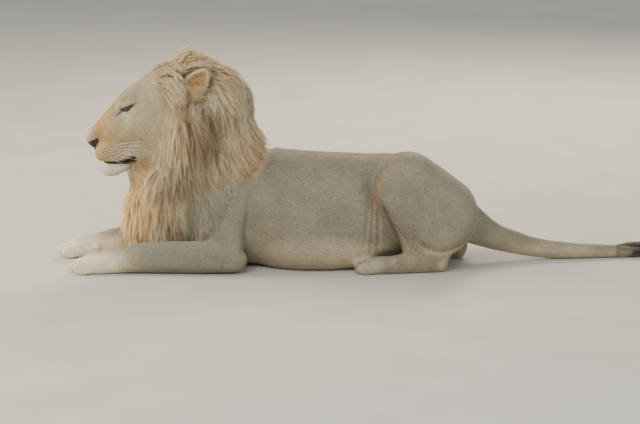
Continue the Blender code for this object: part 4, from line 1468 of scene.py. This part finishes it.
WHISKER_ROWS = 4
WHISKERS_IN_ROW = 5
# How far each whisker of a row is behind the one before it and below it.
WHISKER_GAP = 0.0135
WHISKER_DROP = 0.00135
WHISKER_POINTS = 7
EAR_HAIRS = 600
LEATHER_THICKNESS = 0.0016


def eyeball(name, side):
    """A brown eye with a round pupil, turned to its gaze."""
    gaze = unit(HEAD_TURN @ on_side(GAZE, side))
    centre = from_head(on_side(EYE, side))
    turn = Vector(gaze).to_track_quat("Z", "Y").to_matrix().to_4x4()
    ball = bmesh.new()
    bmesh.ops.create_uvsphere(ball, u_segments=48, v_segments=64, radius=EYE_RADIUS)
    bmesh.ops.transform(ball, matrix=Matrix.Translation(centre) @ turn, verts=ball.verts)
    mesh = mesh_from(name, ball)
    points = coordinates(mesh)
    degrees = np.degrees(np.arccos(np.clip(unit(points - centre) @ gaze, -1, 1)))
    paint(mesh, tint(
        IRIS * (0.8 + 0.5 * noise(points, 0.0016, 9))[:, None],
        (IRIS_RING, bell(degrees, 17, 5) * 0.6),
        (BLACK * 0.4, fall(degrees, 11.5, 14)),
        (BLACK, ramp(degrees, 29, 34)),
        (EYE_WHITE, ramp(degrees, 38, 50)),
    ))
    mesh.shade_smooth()
    return placed(name, mesh)


def nose_leather(skin):
    """The bare nose, a thin pad over the skin's front."""
    pad = bmesh.new()
    pad.from_mesh(skin.data)
    edge = leather_edge(to_head(np.array([v.co for v in pad.verts])))
    normals = np.array([v.normal for v in pad.verts])
    outside = [f for f in pad.faces if any(edge[v.index] >= 1 for v in f.verts)]
    bmesh.ops.delete(pad, geom=outside, context="FACES")
    for v in pad.verts:
        raised = 0.0011 * fall(edge[v.index], 0.75, 1.0) - 0.0004
        v.co += Vector(normals[v.index] * raised)
    obj = placed("nose_leather", mesh_from("nose_leather", pad))
    thick = obj.modifiers.new("thick", "SOLIDIFY")
    thick.thickness = LEATHER_THICKNESS
    thick.offset = -1
    apply_modifiers(obj)
    obj.data.shade_smooth()
    return obj


def face_side(x, z, side):
    """The face's surface at that length and height, on one side."""
    y = np.linspace(0.12, 0.0, 400)
    found = head_distance(np.stack((np.full(400, x), y, np.full(400, z)), -1))
    return np.array((x, side * y[np.argmax(found < 0)], z))


def whisker_row(row):
    """Where a row of whiskers starts on the lip: how far back, and how high."""
    return 0.028 + 0.004 * row, -0.022 - 0.0115 * row


def whiskers():
    """Long pale bristles in four rows on each lip."""
    rng = np.random.default_rng(31)
    roots, ways, sizes = [], [], []
    for side in SIDES.values():
        for row in range(WHISKER_ROWS):
            start, height = whisker_row(row)
            for k in range(WHISKERS_IN_ROW):
                roots.append(face_side(start + WHISKER_GAP * k, height - WHISKER_DROP * k, side))
                back = 0.45 + 0.12 * k + rng.normal(0, 0.06)
                ways.append((back, side * 0.60, -0.15 - 0.10 * row + rng.normal(0, 0.08)))
                sizes.append(rng.uniform(0.05, 0.085) + 0.008 * k)
    roots, ways, sizes = np.array(roots), unit(ways), np.array(sizes)[:, None]
    bend = np.array((0.70, 0, -0.45))
    t = np.linspace(0, 1, WHISKER_POINTS)
    curves = [roots - ways * ROOT_DEPTH + ways * sizes * k + bend * sizes * 0.6 * k * k for k in t]
    paths = from_head(np.stack(curves, axis=1))
    run = unit(paths[:, -1] - paths[:, 0])
    across = unit(np.cross(run, (0, 0, 1)))
    widths = 0.0013 * (1 - 0.8 * t[:-1])[None, :] * np.ones((len(roots), 1))
    colours = np.tile(BRISTLE, (len(roots), WHISKER_POINTS, 1))
    spots = SURFACE.spots(paths[:, 0])
    return tufts("whiskers", paths, across, np.cross(across, run), widths, colours, spots)


def claws():
    """The tips of the claws at the ends of the toes."""
    built = bmesh.new()
    turn = Matrix.Rotation(math.radians(-112), 4, "Y")
    scale = Matrix.Diagonal((0.8, 0.55, 1.0, 1.0))
    for foot in FEET:
        for x, y, z in toe_centres(*foot):
            tip = Matrix.Translation(Vector((x - foot[-1][0] * 0.86, y, z * 0.62)))
            bmesh.ops.create_cone(
                built, cap_ends=True, segments=12, radius1=0.0048, radius2=0.0006, depth=0.014,
                matrix=tip @ turn @ scale,
            )
    mesh = mesh_from("claws", built)
    mesh.shade_smooth()
    return placed("claws", mesh)


def ear_hair():
    """Long pale hair from the ear's front edge and out of its cup."""
    rng = np.random.default_rng(41)
    sag = np.array((0, 0.25, -0.1))
    paths, lifts = [], []
    for side in SIDES.values():
        middle, axes = ear_frame(side)
        for _ in range(EAR_HAIRS):
            angle = rng.uniform(math.radians(100), math.radians(250))
            inner = rng.uniform(0.85, 1.1)
            swing, drop = math.cos(angle + 0.5), abs(math.sin(angle))
            root = (side * 0.044 * inner * swing, 0.004 + 0.012 * inner, -0.010 - 0.045 * inner * drop)
            way = unit((rng.normal(0.15 * side, 0.25), rng.uniform(0.15, 0.6), rng.uniform(0.7, 1.1)))
            size = rng.uniform(0.025, 0.060)
            curve = [root + way * size * t + sag * size * t * t for t in np.linspace(0, 1, RINGS)]
            paths.append(from_head(middle + np.array(curve) @ axes))
            lifts.append(HEAD_TURN @ (axes.T @ np.array((0, 1, 0))))
    paths, lifts = np.array(paths), np.array(lifts)
    run = unit(paths[:, -1] - paths[:, 0])
    across = unit(np.cross(lifts, run))
    widths = 0.0011 * TAPER[None, :] * rng.uniform(0.7, 1.2, (len(paths), 1))
    base = tint(np.tile(CREAM, (len(paths), 1)), (ORANGE, rng.uniform(0, 0.5, len(paths))))
    # darker towards the root as painted shade, lighter at the tip
    colours = base[:, None, :] * np.linspace(0.45, 1.1, RINGS)[None, :, None]
    return tufts("ear_hair", paths, across, lifts, widths, colours, SURFACE.spots(paths[:, 0]), lifts)


# -------- materials

class Stuff:
    """A material made of nodes round its shader."""

    def __init__(self, name, roughness):
        self.material = bpy.data.materials.new(name)
        self.material.use_nodes = True
        self.tree = self.material.node_tree
        self.shader = self.tree.nodes["Principled BSDF"]
        self.set(self.shader, {"Roughness": roughness})

    def set(self, node, inputs):
        """Give a node's inputs their values, or link them to other nodes' outputs."""
        for key, value in inputs.items():
            if isinstance(value, bpy.types.NodeSocket):
                self.tree.links.new(value, node.inputs[key])
            else:
                node.inputs[key].default_value = value

    def add(self, kind, inputs=(), **settings):
        """A new node of that kind."""
        node = self.tree.nodes.new("ShaderNode" + kind)
        for key, value in settings.items():
            setattr(node, key, value)
        self.set(node, dict(inputs))
        return node

    def finish(self, colour, texture, bump, distance):
        """The material, with the shader's colour linked, and dented by the texture if asked."""
        self.set(self.shader, {"Base Color": colour})
        if bump:
            dent = self.add("Bump", {"Strength": bump, "Distance": distance, "Height": texture})
            self.set(self.shader, {"Normal": dent.outputs["Normal"]})
        return self.material


def coat_material(name, roughness=0.72, sheen=0.15, fleck=0.18, grain=260.0, bump=0.0, coat=0.0):
    """The stored markings broken up by fine flecks, with an optional hair grain as bump."""
    stuff = Stuff(name, roughness)
    stuff.set(stuff.shader, {"Sheen Weight": sheen, "Sheen Roughness": 0.5})
    stuff.set(stuff.shader, {"Coat Weight": coat, "Coat Roughness": 0.08})
    stored = stuff.add("Attribute", attribute_name="Coat").outputs["Color"]
    place = stuff.add("NewGeometry").outputs["Position"]
    place = stuff.add("Mapping", {"Scale": (0.35, 1.0, 1.0), "Vector": place}).outputs["Vector"]
    texture = stuff.add("TexNoise", {"Scale": grain, "Detail": 3.0, "Vector": place}).outputs["Fac"]
    levels = {"From Min": 0.3, "From Max": 0.7, "To Min": 1.0 - fleck, "To Max": 1.0 + fleck}
    level = stuff.add("MapRange", {**levels, "Value": texture}).outputs["Result"]
    mixed = stuff.add("VectorMath", {0: stored, "Scale": level}, operation="SCALE").outputs["Vector"]
    return stuff.finish(mixed, texture, bump, 0.0015)


def speckled(name, colour, other, roughness, scale, bump):
    """A plain stuff with mottled colour and a fine bump."""
    stuff = Stuff(name, roughness)
    place = stuff.add("NewGeometry").outputs["Position"]
    texture = stuff.add("TexNoise", {"Scale": scale, "Detail": 4.0, "Vector": place}).outputs["Fac"]
    colours = stuff.add("ValToRGB", {"Fac": texture})
    for stop, position, shade in zip(colours.color_ramp.elements, (0.35, 0.65), (colour, other)):
        stop.position = position
        stop.color = (*shade, 1)
    return stuff.finish(colours.outputs["Color"], texture, bump, 0.001)


# -------- floor, light and camera

FLOOR_PALE = (srgb(206, 202, 192), srgb(212, 208, 198))
# Each lamp: its place, the point it looks at, its width, its power and its colour.
LAMPS = {
    "key": ((-1.6, -3.8, 3.4), (-0.2, 0, 0.3), 2.6, 115, (1.0, 0.97, 0.92)),
    "front": ((-4.6, 0.6, 2.4), (-0.7, 0, 0.35), 1.8, 205, (1.0, 0.89, 0.69)),
    "fill": ((3.0, -4.0, 1.8), (0.1, 0, 0.2), 3.0, 45, (0.92, 0.96, 1.0)),
    "rim": ((1.2, 4.2, 3.2), (-0.1, 0, 0.4), 2.0, 200, (1.0, 0.86, 0.66)),
}
SENSOR = 36
CAMERA_AIM = Vector((-0.153, 0.002, 0.19))
CAMERA_PITCH = math.radians(11)
CAMERA_DISTANCE = 14.0
VIEW_WIDTH = 2.4


def facing(way):
    """The turn of a lamp or a camera that looks that way."""
    return way.to_track_quat("-Z", "Y").to_euler()


def studio():
    """A pale floor, a pale surround and four soft lamps."""
    bpy.ops.mesh.primitive_plane_add(size=40, location=(0, 0, 0))
    floor = bpy.context.object
    floor.name = "floor"
    floor.data.materials.append(speckled("floor_pale", *FLOOR_PALE, 0.9, 3.0, 0.05))
    world = bpy.data.worlds.new("surround")
    world.use_nodes = True
    background = world.node_tree.nodes["Background"]
    background.inputs["Color"].default_value = (0.93, 0.95, 1.0, 1)
    background.inputs["Strength"].default_value = 0.55
    bpy.context.scene.world = world
    for name, (place, aim, width, power, colour) in LAMPS.items():
        lamp = bpy.data.lights.new(name, "AREA")
        lamp.shape = "SQUARE"
        lamp.size = width
        lamp.energy = power
        lamp.color = colour
        obj = placed(name, lamp)
        obj.location = place
        obj.rotation_euler = facing(Vector(aim) - Vector(place))


def camera():
    """The photographer's place, to the lion's left and a little above."""
    back = Vector((0, -math.cos(CAMERA_PITCH), math.sin(CAMERA_PITCH)))
    data = bpy.data.cameras.new("camera")
    data.sensor_width = SENSOR
    data.lens = SENSOR * CAMERA_DISTANCE / VIEW_WIDTH
    data.clip_end = 100
    obj = placed("camera", data)
    obj.location = CAMERA_AIM + back * CAMERA_DISTANCE
    obj.rotation_euler = facing(-back)
    bpy.context.scene.camera = obj


# -------- the lion

def finish_piece(obj, material, replaced=()):
    """Give a piece its material, its body and the solids it stands for."""
    obj.data.materials.clear()
    obj.data.materials.append(material)
    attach(obj, "root")
    if replaced:
        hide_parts(*replaced)


# The skin is painted a little darker than the hair over it, as painted shade under the coat.
SKIN_PAINTED_SHADE = 0.92

VOLUME, MANE = build_volume()
skin = skin_of(VOLUME)
shape_face(skin)
unwrap(skin)
paint(skin.data, skin_colour(coordinates(skin.data)) * SKIN_PAINTED_SHADE)
skin.data.shade_smooth()
SURFACE = Surface(skin.data)

short_hair = coat_material("hair_short")
long_locks = coat_material("hair_long", roughness=0.62, sheen=0.25, fleck=0.10, grain=120.0)
finish_piece(skin, coat_material("skin_coat", bump=0.35, fleck=0.22), SKIN_NODES)
leather = speckled("leather", LEATHER, LEATHER * 1.7, 0.38, 900.0, 0.5)
finish_piece(nose_leather(skin), leather, ("nose",))
wet_eye = coat_material("wet_eye", roughness=0.12, sheen=0.0, fleck=0.05, grain=900.0, coat=1.0)
for label, side in SIDES.items():
    finish_piece(eyeball(f"eyeball_{label}", side), wet_eye, (f"eye_{label}",))
for piece in coat():
    finish_piece(piece, short_hair)
for piece in mane():
    finish_piece(piece, long_locks)
for piece in tail_tuft():
    finish_piece(piece, long_locks)
for piece in (*forelocks(), ear_hair()):
    finish_piece(piece, long_locks)
finish_piece(whiskers(), long_locks)
finish_piece(claws(), speckled("horn", HORN, HORN_LIGHT, 0.4, 500.0, 0.2))
studio()
camera()
